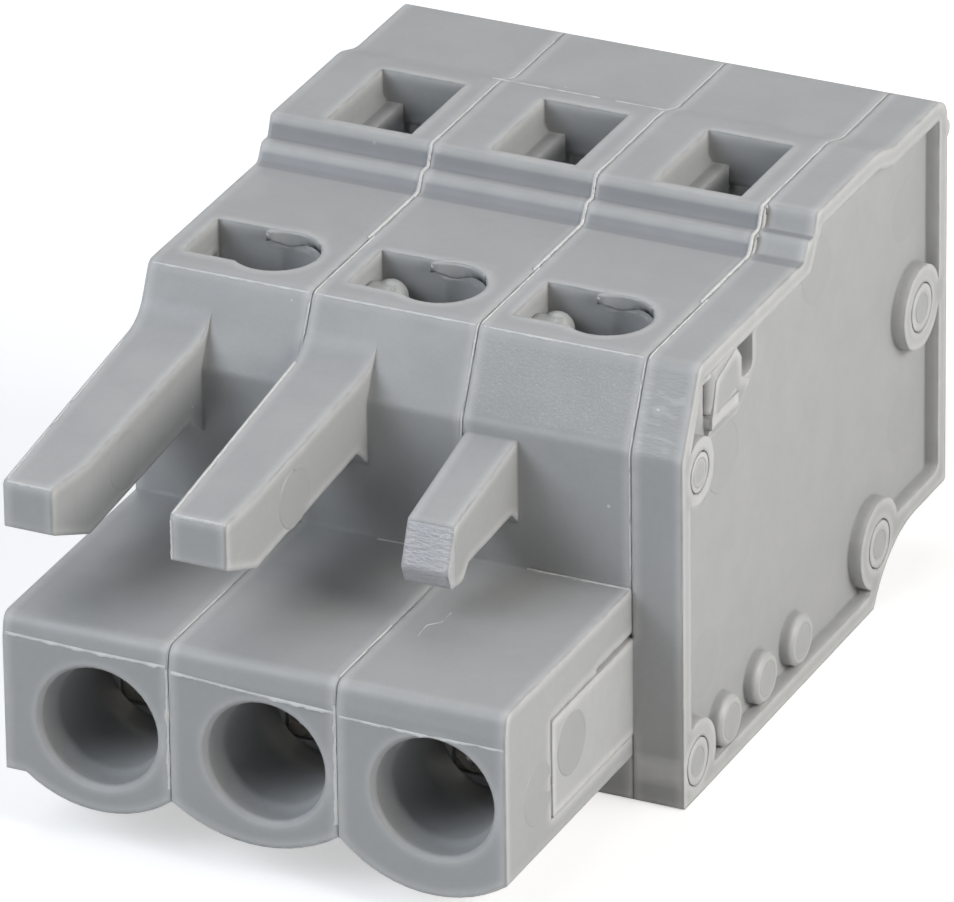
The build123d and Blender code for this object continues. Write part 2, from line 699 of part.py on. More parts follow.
def end_cover():
    """The end cover: a plate with a raised rim, bosses, knobs, a hook pocket and a tongue."""
    left = POLES * PITCH
    right = left + COVER_THICKNESS
    face = right - RIM_HEIGHT
    shape = side_plate(body_corners(RIDGE_FRONT + COVER_SETBACK), (left, right))
    sunk = side_plate(cover_recess_corners(), (face, right + OVERCUT))
    for (y, z), radius in zip(PIN_PLACES, BOSS_RADII):
        sunk -= rod_across(y, z, radius, (face - OVERCUT, right + OVERCUT))
    shape -= sunk
    pad = (face - OVERCUT, left + HOOK_LENGTH)
    shape += block(pad, (HOOK_FRONT, HOOK_BACK), (HOOK_BOTTOM - PAD_HEIGHT, HOOK_BOTTOM))
    bridge = (HOOK_TOP - PAD_BRIDGE_DROP, FRONT_TOP_HEIGHT - RIM_WIDTH)
    shape += block(pad, (TOP_FRONT, HOOK_FRONT), bridge)
    shape -= hook_window((left - OVERCUT, right + OVERCUT))
    shape -= hook_pocket(left, right)
    shape += tongue(left)
    bead_y = BACK - BEAD_SINK
    bead = rod_across(bead_y, BEAD_HEIGHT, BEAD_RADIUS, (left, right))
    shape += bead
    for hole in pin_holes((left - OVERCUT, right + OVERCUT)):
        shape -= hole
    for place in KNOB_PLACES:
        shape += knob(place, face, right)
    return one_solid(shape)


def contact(pole):
    """A female contact: a folded box with two gripping leaves, and its current bar."""
    half = CONTACT_WIDTH / 2
    reach = CONTACT_HEIGHT / 2
    bottom = SOCKET_HEIGHT - reach
    top = SOCKET_HEIGHT + reach
    box = block((SOCKET_X - half, SOCKET_X + half), (CONTACT_FRONT, CONTACT_BACK), (bottom, top))
    box -= block(
        (SOCKET_X - half + SHEET, SOCKET_X + half - SHEET),
        (CONTACT_FRONT - OVERCUT, CONTACT_BACK + OVERCUT),
        (bottom + SHEET, top - SHEET),
    )
    lean = half - SHEET - LEAF_GAP / 2 - LEAF_THICKNESS
    leaf_span = (SOCKET_HEIGHT - LEAF_HEIGHT / 2, SOCKET_HEIGHT + LEAF_HEIGHT / 2)
    for side in (-1, 1):
        outer = SOCKET_X + side * (half - SHEET / 2)
        inner = outer - side * (SHEET / 2 + lean)
        leaf = plan_plate(
            [
                (outer, CONTACT_FRONT),
                (inner, LEAF_NARROW_DEPTH),
                (outer, CONTACT_BACK),
                (outer - side * LEAF_THICKNESS, CONTACT_BACK),
                (inner - side * LEAF_THICKNESS, LEAF_NARROW_DEPTH),
                (outer - side * LEAF_THICKNESS, CONTACT_FRONT),
            ],
            leaf_span,
        )
        box += leaf
    bar_top = BAR_BOTTOM + BAR_THICKNESS
    strip_low = top - BAR_THICKNESS
    bar = side_plate(
        [
            (CONTACT_BACK - SHEET, strip_low, 0),
            (BAR_RISE_FRONT, strip_low, BAR_BEND_RADIUS),
            (BAR_RISE_BACK, BAR_BOTTOM, BAR_BEND_RADIUS / 2),
            (BAR_END, BAR_BOTTOM, 0),
            (BAR_END, bar_top, 0),
            (BAR_RISE_BACK - BAR_THICKNESS / 2, bar_top, BAR_BEND_RADIUS),
            (BAR_RISE_FRONT - BAR_THICKNESS / 2, top, BAR_BEND_RADIUS / 2),
            (CONTACT_BACK - SHEET, top, 0),
        ],
        (SOCKET_X - half, SOCKET_X + half),
    )
    bar_plan = plan_plate(
        [
            (SOCKET_X - half, 0),
            (SOCKET_X + half, 0),
            (SOCKET_X + half, BAR_SHOULDER),
            (SOCKET_X + BAR_TIP_WIDTH / 2, BAR_SHOULDER),
            (SOCKET_X + BAR_TIP_WIDTH / 2, BACK),
            (SOCKET_X - BAR_TIP_WIDTH / 2, BACK),
            (SOCKET_X - BAR_TIP_WIDTH / 2, BAR_SHOULDER),
            (SOCKET_X - half, BAR_SHOULDER),
        ],
        (0, FRONT_TOP_HEIGHT),
    )
    return one_solid(Pos(pole * PITCH, 0, 0) * (box + (bar & bar_plan)))


def clamp_spring(pole):
    """A cage clamp spring: a foot on the bar, a loop, a pressed leg and a cage with its window."""
    foot_height = BAR_BOTTOM + BAR_THICKNESS + STRIP_GAP + STRIP / 2
    loop_front = LOOP_DEPTH - LOOP_RADIUS
    loop_top = foot_height + 2 * LOOP_RADIUS
    lean = atan2(CAGE_TOP - loop_top, CAGE_DEPTH - loop_front)
    path = FilletPolyline(
        (FOOT_BACK, foot_height),
        (loop_front, foot_height),
        (loop_front, loop_top),
        (CAGE_DEPTH, CAGE_TOP),
        (CAGE_DEPTH, CAGE_BOTTOM),
        radius=[LOOP_RADIUS - STRIP_GAP, LOOP_RADIUS * cos(lean) - STRIP_GAP, CAGE_BEND_RADIUS],
    )
    left = WIRE_X - STRIP_WIDTH / 2
    ribbon = trace(path, STRIP)
    strip = extrude(Plane.YZ.offset(left) * ribbon, amount=STRIP_WIDTH, dir=(1, 0, 0))
    strip -= block(
        (WIRE_X - CAGE_WINDOW_WIDTH / 2, WIRE_X + CAGE_WINDOW_WIDTH / 2),
        (CAGE_DEPTH - STRIP, CAGE_DEPTH + STRIP),
        (BAR_BOTTOM - CAGE_EDGE_GAP, CAGE_WINDOW_TOP),
    )
    return one_solid(Pos(pole * PITCH, 0, 0) * strip)


def write_piece(shape, name):
    """Write one piece to its own file, in the connector's frame."""
    export_step(FRAME * shape, os.path.join("parts", name + ".step"))


def main():
    """Build and write every piece."""
    os.makedirs("parts", exist_ok=True)
    for pole in range(POLES):
        number = pole + 1
        write_piece(pole_housing(pole), f"pole_housing_{number}")
        write_piece(contact(pole), f"contact_{number}")
        write_piece(clamp_spring(pole), f"clamp_spring_{number}")
    write_piece(end_cover(), "end_cover")


main()
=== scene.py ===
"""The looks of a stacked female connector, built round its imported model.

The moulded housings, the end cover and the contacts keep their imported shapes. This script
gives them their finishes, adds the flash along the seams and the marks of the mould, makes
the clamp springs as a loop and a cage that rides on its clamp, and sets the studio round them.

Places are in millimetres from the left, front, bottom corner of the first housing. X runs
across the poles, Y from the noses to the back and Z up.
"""

import json
import logging
import math
from dataclasses import dataclass, field
from enum import Enum

import bmesh
import bpy
from mathutils import Matrix, Vector, noise
from mathutils.bvhtree import BVHTree

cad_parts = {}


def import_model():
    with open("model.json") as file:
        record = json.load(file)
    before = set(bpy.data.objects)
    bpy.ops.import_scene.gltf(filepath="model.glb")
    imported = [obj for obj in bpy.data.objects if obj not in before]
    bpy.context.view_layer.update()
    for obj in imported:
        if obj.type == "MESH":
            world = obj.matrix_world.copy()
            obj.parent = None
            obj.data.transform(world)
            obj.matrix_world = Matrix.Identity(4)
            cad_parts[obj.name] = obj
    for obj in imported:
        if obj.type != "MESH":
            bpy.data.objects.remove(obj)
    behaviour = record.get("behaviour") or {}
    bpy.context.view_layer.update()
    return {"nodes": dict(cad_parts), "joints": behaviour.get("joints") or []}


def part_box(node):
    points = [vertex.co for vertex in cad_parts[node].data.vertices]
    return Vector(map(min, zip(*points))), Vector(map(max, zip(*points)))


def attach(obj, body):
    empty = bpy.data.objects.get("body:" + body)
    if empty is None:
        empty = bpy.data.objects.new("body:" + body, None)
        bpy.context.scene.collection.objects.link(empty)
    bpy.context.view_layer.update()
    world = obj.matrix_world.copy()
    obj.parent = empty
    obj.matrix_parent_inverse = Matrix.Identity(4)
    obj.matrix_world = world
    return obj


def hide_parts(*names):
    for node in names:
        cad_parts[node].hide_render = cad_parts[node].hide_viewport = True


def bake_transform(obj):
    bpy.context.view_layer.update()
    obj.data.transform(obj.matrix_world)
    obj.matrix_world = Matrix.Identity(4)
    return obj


LOG = logging.getLogger("connector")
MM = 0.001
POLES = 3
PITCH = 5.0

Place = tuple[float, float, float]
Colour = tuple[float, float, float, float]


class Body(Enum):
    """The moving groups that a piece can ride on."""

    STACK = "root"
    CLAMP = "clamp_{}"


class Slot(Enum):
    """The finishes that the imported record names."""

    HOUSING = "housing_grey"
    CONTACT = "contact_tin"
    SPRING = "spring_steel"


class Towards(Enum):
    """The ways in which a mark is pressed on to the moulding."""

    DOWN = (0.0, 0.0, -1.0)
    BACK = (0.0, 1.0, 0.0)
    LEFT = (-1.0, 0.0, 0.0)
    DOWN_AND_BACK = (0.0, 1.0, -1.0)


@dataclass(frozen=True)
class Signal:
    """One output of a node, with shader maths written as Python expressions."""

    sheet: "NodeSheet"
    socket: bpy.types.NodeSocket

    def _maths(self, operation: str, first: object, second: object) -> "Signal":
        """Add one Math node.

        Args:
            operation: The Math node's operation.
            first: The first value or signal.
            second: The second value or signal.

        Returns:
            The result as a signal.
        """
        return self.sheet.add("ShaderNodeMath", {"operation": operation}, {0: first, 1: second})

    def __add__(self, other: object) -> "Signal":
        """Sum of two values."""
        return self._maths("ADD", self, other)

    def __radd__(self, other: object) -> "Signal":
        """Sum of two values, number first."""
        return self._maths("ADD", other, self)

    def __sub__(self, other: object) -> "Signal":
        """Difference of two values."""
        return self._maths("SUBTRACT", self, other)

    def __rsub__(self, other: object) -> "Signal":
        """Difference of two values, number first."""
        return self._maths("SUBTRACT", other, self)

    def __mul__(self, other: object) -> "Signal":
        """Product of two values."""
        return self._maths("MULTIPLY", self, other)

    def __rmul__(self, other: object) -> "Signal":
        """Product of two values, number first."""
        return self._maths("MULTIPLY", other, self)

    def __gt__(self, other: object) -> "Signal":
        """One where this value is the greater, else nothing."""
        return self._maths("GREATER_THAN", self, other)

    def __or__(self, other: object) -> "Signal":
        """The greater of two values."""
        return self._maths("MAXIMUM", self, other)


class NodeSheet:
    """The node tree of a material or of the world, to which nodes are added by type."""

    def __init__(self, owner: bpy.types.Material | bpy.types.World) -> None:
        """Empty the owner's tree.

        Args:
            owner: The material or world.
        """
        self.owner = owner
        owner.use_nodes = True
        self.tree = owner.node_tree
        self.tree.nodes.clear()

    @classmethod
    def for_material(cls, name: str) -> "NodeSheet":
        """Start a new material."""
        return cls(bpy.data.materials.new(name))

    def add(
        self, kind: str, settings: dict[str, object], inputs: dict[object, object], output: object = 0
    ) -> Signal:
        """Add one node of any type.

        Args:
            kind: The node's type.
            settings: Its settings, set before its sockets.
            inputs: Values or signals for its sockets, by name or number.
            output: The name or number of the output that is wanted.

        Returns:
            The wanted output as a signal.
        """
        node = self.tree.nodes.new(kind)
        for key, value in settings.items():
            setattr(node, key, value)
        for key, value in inputs.items():
            if isinstance(value, Signal):
                self.tree.links.new(value.socket, node.inputs[key])
            else:
                node.inputs[key].default_value = value
        return Signal(self, node.outputs[output])

    def grain(self, place: Signal, scale: float, detail: float = 2.0, roughness: float = 0.5) -> Signal:
        """Noise from nothing to one.

        Args:
            place: The place that the noise is read at, in millimetres.
            scale: Grains to the millimetre.
            detail: The number of finer layers.
            roughness: How strong the finer layers are.

        Returns:
            The noise as a signal.
        """
        inputs = {"Vector": place, "Scale": scale, "Detail": detail, "Roughness": roughness}
        return self.add("ShaderNodeTexNoise", {}, inputs)

    def ease(self, value: Signal, low: float, high: float) -> Signal:
        """Turn a value into a smooth step.

        Args:
            value: The value.
            low: Where the step starts.
            high: Where the step ends.

        Returns:
            Nothing below the step, one above it.
        """
        inputs = {"Value": value, "From Min": low, "From Max": high, "To Min": 0.0, "To Max": 1.0}
        return self.add("ShaderNodeMapRange", {"interpolation_type": "SMOOTHSTEP"}, inputs)

    def blend(self, share: Signal, first: object, second: object) -> Signal:
        """Mix two colours.

        Args:
            share: The share of the second colour.
            first: The first colour.
            second: The second colour.

        Returns:
            The mixed colour.
        """
        inputs = {0: share, 6: first, 7: second}
        return self.add("ShaderNodeMix", {"data_type": "RGBA"}, inputs, 2)

    def output(self, shader: Signal) -> bpy.types.Material | bpy.types.World:
        """Link the finished shader and hand over the material or world.

        Args:
            shader: The finished shader.

        Returns:
            The material or the world.
        """
        world = isinstance(self.owner, bpy.types.World)
        end = self.tree.nodes.new("ShaderNodeOutputWorld" if world else "ShaderNodeOutputMaterial")
        self.tree.links.new(shader.socket, end.inputs["Surface"])
        return self.owner


@dataclass(frozen=True)
class Layout:
    """Turns the connector's own measures into places in the frame."""

    corner: Vector

    @classmethod
    def from_frame(cls) -> "Layout":
        """Read the corner from the first housing's box."""
        return cls(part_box("pole_housing_1")[0])

    def at(self, x: float, y: float, z: float) -> Vector:
        """A place in the frame, in metres, from millimetres."""
        return self.corner + Vector((x, y, z)) * MM


@dataclass(frozen=True)
class Patch:
    """A stretch of the moulding, between soft limits, that looks unlike the rest."""

    low: Place
    high: Place
    soft: float = 0.1

    def mask(self, sheet: NodeSheet, axes: tuple[Signal, Signal, Signal]) -> Signal:
        """Build the mask.

        Args:
            sheet: The material's node tree.
            axes: The three coordinates, in millimetres.

        Returns:
            One inside the patch and nothing outside it.
        """
        whole = None
        for axis, low, high in zip(axes, self.low, self.high):
            inside = sheet.ease(axis, low, low + self.soft) * sheet.ease(axis, high, high - self.soft)
            whole = inside if whole is None else whole * inside
        return whole


@dataclass(frozen=True)
class Polyamide:
    """Grey moulded polyamide: satin, faintly mottled, with fine grain and specks, painted pale highlights
    on soft outer edges, a painted sheen on chosen patches and painted shade in chosen corners.
    """

    name: str
    corner: Vector
    colour: Colour = (0.352, 0.357, 0.360, 1.0)
    # Pale colour for light marks in the plastic, and also for the painted highlights on edges and the
    # painted sheen on lips.
    pale: Colour = (0.60, 0.605, 0.60, 1.0)
    shade: Colour = (0.325, 0.331, 0.336, 1.0)
    # A bluish dark grey that paints shade into concave corners.
    painted_corner_shade: Colour = (0.20, 0.21, 0.225, 1.0)
    scar: Colour = (0.50, 0.50, 0.53, 1.0)
    roughness: float = 0.46
    cloud_scale: float = 0.5
    mottle_scale: float = 5.0
    smear_scale: float = 5.0
    fleck_scale: float = 16.0
    drawn_share: float = 0.28
    fine_depth: float = 0.0035
    wave_depth: float = 0.016
    pit_depth: float = 0.016
    speck_scale: float = 0.9
    speck_rarity: float = 0.88
    edge_radius: float = 0.2
    edge_reach: float = 0.36
    edge_highlight_share: float = 0.72
    thin: bool = False
    grain_patches: tuple[Patch, ...] = ()
    streak_patches: tuple[Patch, ...] = ()
    gloss_and_sheen_patches: tuple[Patch, ...] = ()
    scar_patches: tuple[Patch, ...] = ()
    painted_corner_shade_patches: tuple[Patch, ...] = ()

    def make(self) -> bpy.types.Material:
        """Build the material.

        Returns:
            The material.
        """
        sheet = NodeSheet.for_material(self.name)
        place, axes = self._place(sheet)
        if self.thin:
            soft_normal = sheet.add("ShaderNodeNewGeometry", {}, {}, "Normal")
            edge = axes[0] * 0.0
        else:
            soft_normal = sheet.add("ShaderNodeBevel", {"samples": 3}, {"Radius": self.edge_radius * MM})
            edge = self._edge(sheet, place)
        grain = self._masks(sheet, axes, self.grain_patches)
        streak = self._masks(sheet, axes, self.streak_patches)
        gloss_and_sheen = self._masks(sheet, axes, self.gloss_and_sheen_patches)
        scar = self._masks(sheet, axes, self.scar_patches)
        painted_corner_shade = self._masks(sheet, axes, self.painted_corner_shade_patches)
        across = {0: place, 1: (self.drawn_share, 1.0, 1.0)}
        drawn = sheet.add("ShaderNodeVectorMath", {"operation": "MULTIPLY"}, across)
        fleck = sheet.ease(sheet.grain(place, self.fleck_scale, 2.0, 0.75), 0.5, 0.7)
        smear = sheet.ease(sheet.grain(drawn, self.smear_scale, 2.0, 0.7), 0.48, 0.68)
        cloud = sheet.ease(sheet.grain(place, self.cloud_scale, 2.0, 0.6), 0.3, 0.7)
        colour = self._colour(sheet, place, cloud, edge)
        # Painted shade: the concave corners of the ridge's steps are blended toward a bluish dark grey.
        colour = sheet.blend(painted_corner_shade * 0.8, colour, self.painted_corner_shade)
        colour = sheet.blend(grain * fleck * 0.22 + streak * smear * 0.28, colour, self.pale)
        # Painted sheen: the glossy patches are blended toward the pale colour as well as being less rough.
        colour = sheet.blend(gloss_and_sheen * (0.2 + 0.5 * smear), colour, self.pale)
        colour = sheet.blend(scar * (0.5 + 0.5 * fleck), colour, self.scar)
        rough = self.roughness + 0.10 * cloud - 0.05
        rough = rough - 0.16 * gloss_and_sheen - 0.12 * scar + 0.08 * grain
        fine = sheet.grain(place, 10.0, 1.0) * self.fine_depth
        waves = sheet.grain(place, 1.4, 0.0) * self.wave_depth
        coarse = sheet.grain(drawn, 12.0, 1.0, 0.7)
        pitted = sheet.grain(place, 13.0, 1.0, 0.7)
        skin = fine + waves + pitted * (grain * self.pit_depth + scar * 0.02)
        skin = skin + coarse * (streak * 0.012 + gloss_and_sheen * 0.02 + scar * 0.04)
        bump = sheet.add("ShaderNodeBump", {}, {"Height": skin, "Distance": MM, "Normal": soft_normal})
        shader = sheet.add(
            "ShaderNodeBsdfPrincipled",
            {},
            {"Base Color": colour, "Roughness": rough, "Normal": bump, "IOR": 1.5},
        )
        return sheet.output(shader)

    def _place(self, sheet: NodeSheet) -> tuple[Signal, tuple[Signal, Signal, Signal]]:
        """The place on the connector, in millimetres from its corner, whole and by axis.

        Args:
            sheet: The material's node tree.

        Returns:
            The whole place, and its three coordinates.
        """
        raw = sheet.add("ShaderNodeTexCoord", {}, {}, "Object")
        moved = sheet.add("ShaderNodeVectorMath", {"operation": "SUBTRACT"}, {0: raw, 1: self.corner})
        scaled = sheet.add("ShaderNodeVectorMath", {"operation": "SCALE"}, {0: moved, "Scale": 1 / MM})
        axes = tuple(sheet.add("ShaderNodeSeparateXYZ", {}, {0: scaled}, i) for i in range(3))
        return scaled, axes

    def _edge(self, sheet: NodeSheet, place: Signal) -> Signal:
        """How near the surface is to an outer edge, from nothing to one, made uneven by noise, for the
        painted edge highlight.

        Args:
            sheet: The material's node tree.
            place: The place on the connector, in millimetres.

        Returns:
            One at the outer edges, nothing on flat faces.
        """
        settings = {"inside": True, "only_local": True, "samples": 4}
        free = sheet.add(
            "ShaderNodeAmbientOcclusion", settings, {"Distance": self.edge_reach * MM}, "AO"
        )
        uneven_noise = 0.65 + 0.7 * sheet.grain(place, 2.2, 1.0)
        return sheet.ease(1.0 - free, 0.04, 0.5) * uneven_noise

    @staticmethod
    def _masks(sheet: NodeSheet, axes: tuple[Signal, Signal, Signal], patches: tuple[Patch, ...]) -> Signal:
        """Join the masks of several patches.

        Args:
            sheet: The material's node tree.
            axes: The three coordinates, in millimetres.
            patches: The patches.

        Returns:
            One inside any of the patches.
        """
        whole = None
        for patch in patches:
            mask = patch.mask(sheet, axes)
            whole = mask if whole is None else whole + mask
        return whole if whole is not None else axes[0] * 0.0

    def _colour(self, sheet: NodeSheet, place: Signal, cloud: Signal, edge: Signal) -> Signal:
        """The mottled colour with its painted pale highlights along outer edges and rare pale specks.

        Args:
            sheet: The material's node tree.
            place: The place on the connector, in millimetres.
            cloud: The broad unevenness.
            edge: How near an outer edge is.

        Returns:
            The colour.
        """
        mottle = sheet.ease(sheet.grain(place, self.mottle_scale, 2.0, 0.65), 0.35, 0.7)
        colour = sheet.blend(0.45 * cloud + 0.35 * mottle, self.colour, self.shade)
        # Painted highlight: outer edges are blended toward the pale colour.
        colour = sheet.blend(edge * self.edge_highlight_share, colour, self.pale)
        dots = {"Vector": place, "Scale": self.speck_scale}
        near = sheet.add("ShaderNodeTexVoronoi", {}, dots, "Distance")
        chance = sheet.add("ShaderNodeTexVoronoi", {}, dots, "Color")
        rare = sheet.add("ShaderNodeSeparateXYZ", {}, {0: chance}, 0) > self.speck_rarity
        return sheet.blend(rare * sheet.ease(near, 0.06, 0.03) * 0.85, colour, self.pale)


@dataclass(frozen=True)
class Metal:
    """Plated or rolled metal with fine drawing lines along the strip."""

    name: str
    colour: Colour = (0.62, 0.60, 0.56, 1.0)
    dull: Colour = (0.40, 0.385, 0.36, 1.0)
    roughness: float = 0.24
    edge_radius: float = 0.05

    def make(self) -> bpy.types.Material:
        """Build the material.

        Returns:
            The material.
        """
        sheet = NodeSheet.for_material(self.name)
        raw = sheet.add("ShaderNodeTexCoord", {}, {}, "Object")
        scaled = sheet.add("ShaderNodeVectorMath", {"operation": "SCALE"}, {0: raw, "Scale": 1 / MM})
        drawn = sheet.add("ShaderNodeVectorMath", {"operation": "MULTIPLY"}, {0: scaled, 1: (1, 0.06, 1)})
        lines = sheet.grain(drawn, 14.0, 3.0)
        tarnish = sheet.ease(sheet.grain(scaled, 1.6, 3.0), 0.35, 0.7)
        colour = sheet.blend(tarnish * 0.6, self.colour, self.dull)
        edge_normal = sheet.add("ShaderNodeBevel", {"samples": 6}, {"Radius": self.edge_radius * MM})
        bump = sheet.add(
            "ShaderNodeBump", {}, {"Height": lines * 0.004, "Distance": MM, "Normal": edge_normal}
        )
        shader = sheet.add(
            "ShaderNodeBsdfPrincipled",
            {},
            {
                "Base Color": colour,
                "Metallic": 1.0,
                "Roughness": self.roughness + 0.12 * tarnish,
                "Normal": bump,
            },
        )
        return sheet.output(shader)


def finished_piece(name: str, mesh: bmesh.types.BMesh, smooth: bool = False) -> bpy.types.Object:
    """Turn an edited mesh into a piece.

    Args:
        name: The piece's name.
        mesh: The edited mesh, which is freed.
        smooth: Whether it shades as one curved surface.

    Returns:
        The piece.
    """
    bmesh.ops.recalc_face_normals(mesh, faces=mesh.faces[:])
    data = bpy.data.meshes.new(name)
    mesh.to_mesh(data)
    mesh.free()
    data.polygons.foreach_set("use_smooth", [smooth] * len(data.polygons))
    piece = bpy.data.objects.new(name, data)
    bpy.context.scene.collection.objects.link(piece)
    return piece


def keep_on_stack(piece: bpy.types.Object, finish: bpy.types.Material) -> None:
    """Dress a moulded piece and fix it to the stack.

    Args:
        piece: The piece.
        finish: Its material.
    """
    piece.data.materials.append(finish)
    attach(piece, Body.STACK.value)
    LOG.info("placed %s", piece.name)


class Skin:
    """The moulded surfaces, which carry the flash and the marks."""

    def __init__(self, nodes: list[bpy.types.Object]) -> None:
        """Gather the surfaces.

        Args:
            nodes: The moulded pieces.
        """
        points: list[Vector] = []
        polygons: list[tuple[int, ...]] = []
        for node in nodes:
            start = len(points)
            points += [vertex.co.copy() for vertex in node.data.vertices]
            polygons += [tuple(start + i for i in face.vertices) for face in node.data.polygons]
        self.tree = BVHTree.FromPolygons(points, polygons)

    def touch(self, start: Vector, direction: Vector, reach: float) -> tuple[Vector, Vector] | None:
        """Find where a ray meets the moulding.

        Args:
            start: Where the ray starts.
            direction: The way it goes.
            reach: How far it goes at most.

        Returns:
            The place and the surface's normal, or None where it meets nothing.
        """
        place, normal, _, _ = self.tree.ray_cast(start, direction, reach)
        if place is None:
            return None
        return place, normal if normal.dot(direction) < 0 else -normal


@dataclass(frozen=True)
class Rib:
    """One cross section of a thin ridge that stands on the moulding."""

    foot: Vector
    normal: Vector
    side: Vector
    half_width: float
    height: float
    lean: float = 0.0
    top_share: float = 0.4
    sink: float = 0.012 * MM


def ridge_mesh(name: str, ribs: list[Rib], closed: bool) -> bpy.types.Object:
    """Skin a row of cross sections into a thin closed ridge.

    Args:
        name: The piece's name.
        ribs: The cross sections, in metres.
        closed: Whether the ridge runs round in a ring.

    Returns:
        The piece.
    """
    mesh = bmesh.new()
    rows = []
    for rib in ribs:
        across = rib.side * rib.half_width
        crest = across * rib.top_share
        base = rib.foot - rib.normal * rib.sink
        top = rib.foot + rib.normal * rib.height + across * rib.lean
        section = (base - across, top - crest, top + crest, base + across)
        rows.append([mesh.verts.new(place) for place in section])
    pairs = list(zip(rows, rows[1:]))
    if closed:
        pairs.append((rows[-1], rows[0]))
    for first, second in pairs:
        for i in range(4):
            j = (i + 1) % 4
            mesh.faces.new((first[i], first[j], second[j], second[i]))
    if not closed:
        mesh.faces.new(rows[0])
        mesh.faces.new(rows[-1][::-1])
    return finished_piece(name, mesh)


def even_steps(path: tuple[Place, ...], step: float) -> list[Place]:
    """Points at an even step along a path.

    Args:
        path: The corners of the path.
        step: The distance between points, in millimetres.

    Returns:
        The points, with the path's own end.
    """
    points = [Vector(place) for place in path]
    samples = []
    for first, second in zip(points, points[1:]):
        count = max(1, round((second - first).length / step))
        samples += [tuple(first.lerp(second, i / count)) for i in range(count)]
    samples.append(tuple(points[-1]))
    return samples


@dataclass(frozen=True)
class FlashLine:
    """A thin ragged ridge of plastic, squeezed out where two halves of the mould meet."""

    name: str
    path: tuple[Place, ...]
    towards: Towards
    height: float = 0.04
    width: float = 0.05
    gaps: float = 0.25
    seed: int = 1
    step: float = 0.05
    lift: float = 0.35

    def build(self, layout: Layout, skin: Skin) -> bpy.types.Object:
        """Lay the ridge on the moulding.

        Args:
            layout: Turns measures into places.
            skin: The moulded surfaces.

        Returns:
            The piece.
        """
        direction = Vector(self.towards.value).normalized()
        hits = []
        for place in even_steps(self.path, self.step):
            start = layout.at(*place) - direction * self.lift * MM
            found = skin.touch(start, direction, 2.5 * self.lift * MM)
            if found is not None:
                hits.append(found)
        ribs = []
        for index, (foot, normal) in enumerate(hits):
            before = hits[max(index - 1, 0)][0]
            after = hits[min(index + 1, len(hits) - 1)][0]
            side = (after - before).cross(normal).normalized()
            along = index * self.step
            ragged = noise.noise(Vector((along * 2.6, self.seed * 7.3, 0.0)))
            fine = noise.noise(Vector((along * 9.0, self.seed * 3.1, 5.0)))
            share = 0.5 + 0.75 * ragged + 0.35 * fine - self.gaps
            ribs.append(
                Rib(
                    foot + side * fine * 0.15 * self.width * MM,
                    normal,
                    side,
                    0.5 * self.width * (0.75 + 0.5 * max(share, 0.0)) * MM,
                    max(self.height * min(share, 1.2), -0.008) * MM,
                    ragged,
                )
            )
        return ridge_mesh(self.name, ribs, False)


@dataclass(frozen=True)
class SeamFill:
    """The floor of the hairline gap between two mouldings, where their faces nearly meet."""

    name: str
    path: tuple[Place, ...]
    towards: Towards
    shift: Place = (0.07, 0.0, 0.0)
    depth: float = 0.035
    half_width: float = 0.04
    least_depth: float = 0.004
    floor_thickness: float = 0.3
    seed: int = 1
    step: float = 0.1
    lift: float = 0.35

    def build(self, layout: Layout, skin: Skin) -> bpy.types.Object:
        """Lay the floor between the mouldings.

        Args:
            layout: Turns measures into places.
            skin: The moulded surfaces.

        Returns:
            The piece.
        """
        direction = Vector(self.towards.value).normalized()
        shift = Vector(self.shift) * MM
        feet = []
        for place in even_steps(self.path, self.step):
            start = layout.at(*place) - direction * self.lift * MM
            found = skin.touch(start, direction, 2.5 * self.lift * MM)
            if found is not None:
                feet.append((found[0] + shift, found[1]))
        ribs = []
        for index, (foot, normal) in enumerate(feet):
            before = feet[max(index - 1, 0)][0]
            after = feet[min(index + 1, len(feet) - 1)][0]
            side = (after - before).cross(normal).normalized()
            uneven = noise.noise(Vector((index * self.step * 1.7, self.seed * 4.9, 2.0)))
            depth = self.depth * (1.0 + 1.2 * uneven) * MM
            sunk = -max(depth, self.least_depth * MM)
            half = self.half_width * MM
            ribs.append(Rib(foot, normal, side, half, sunk, 0.0, 1.0, self.floor_thickness * MM))
        return ridge_mesh(self.name, ribs, False)


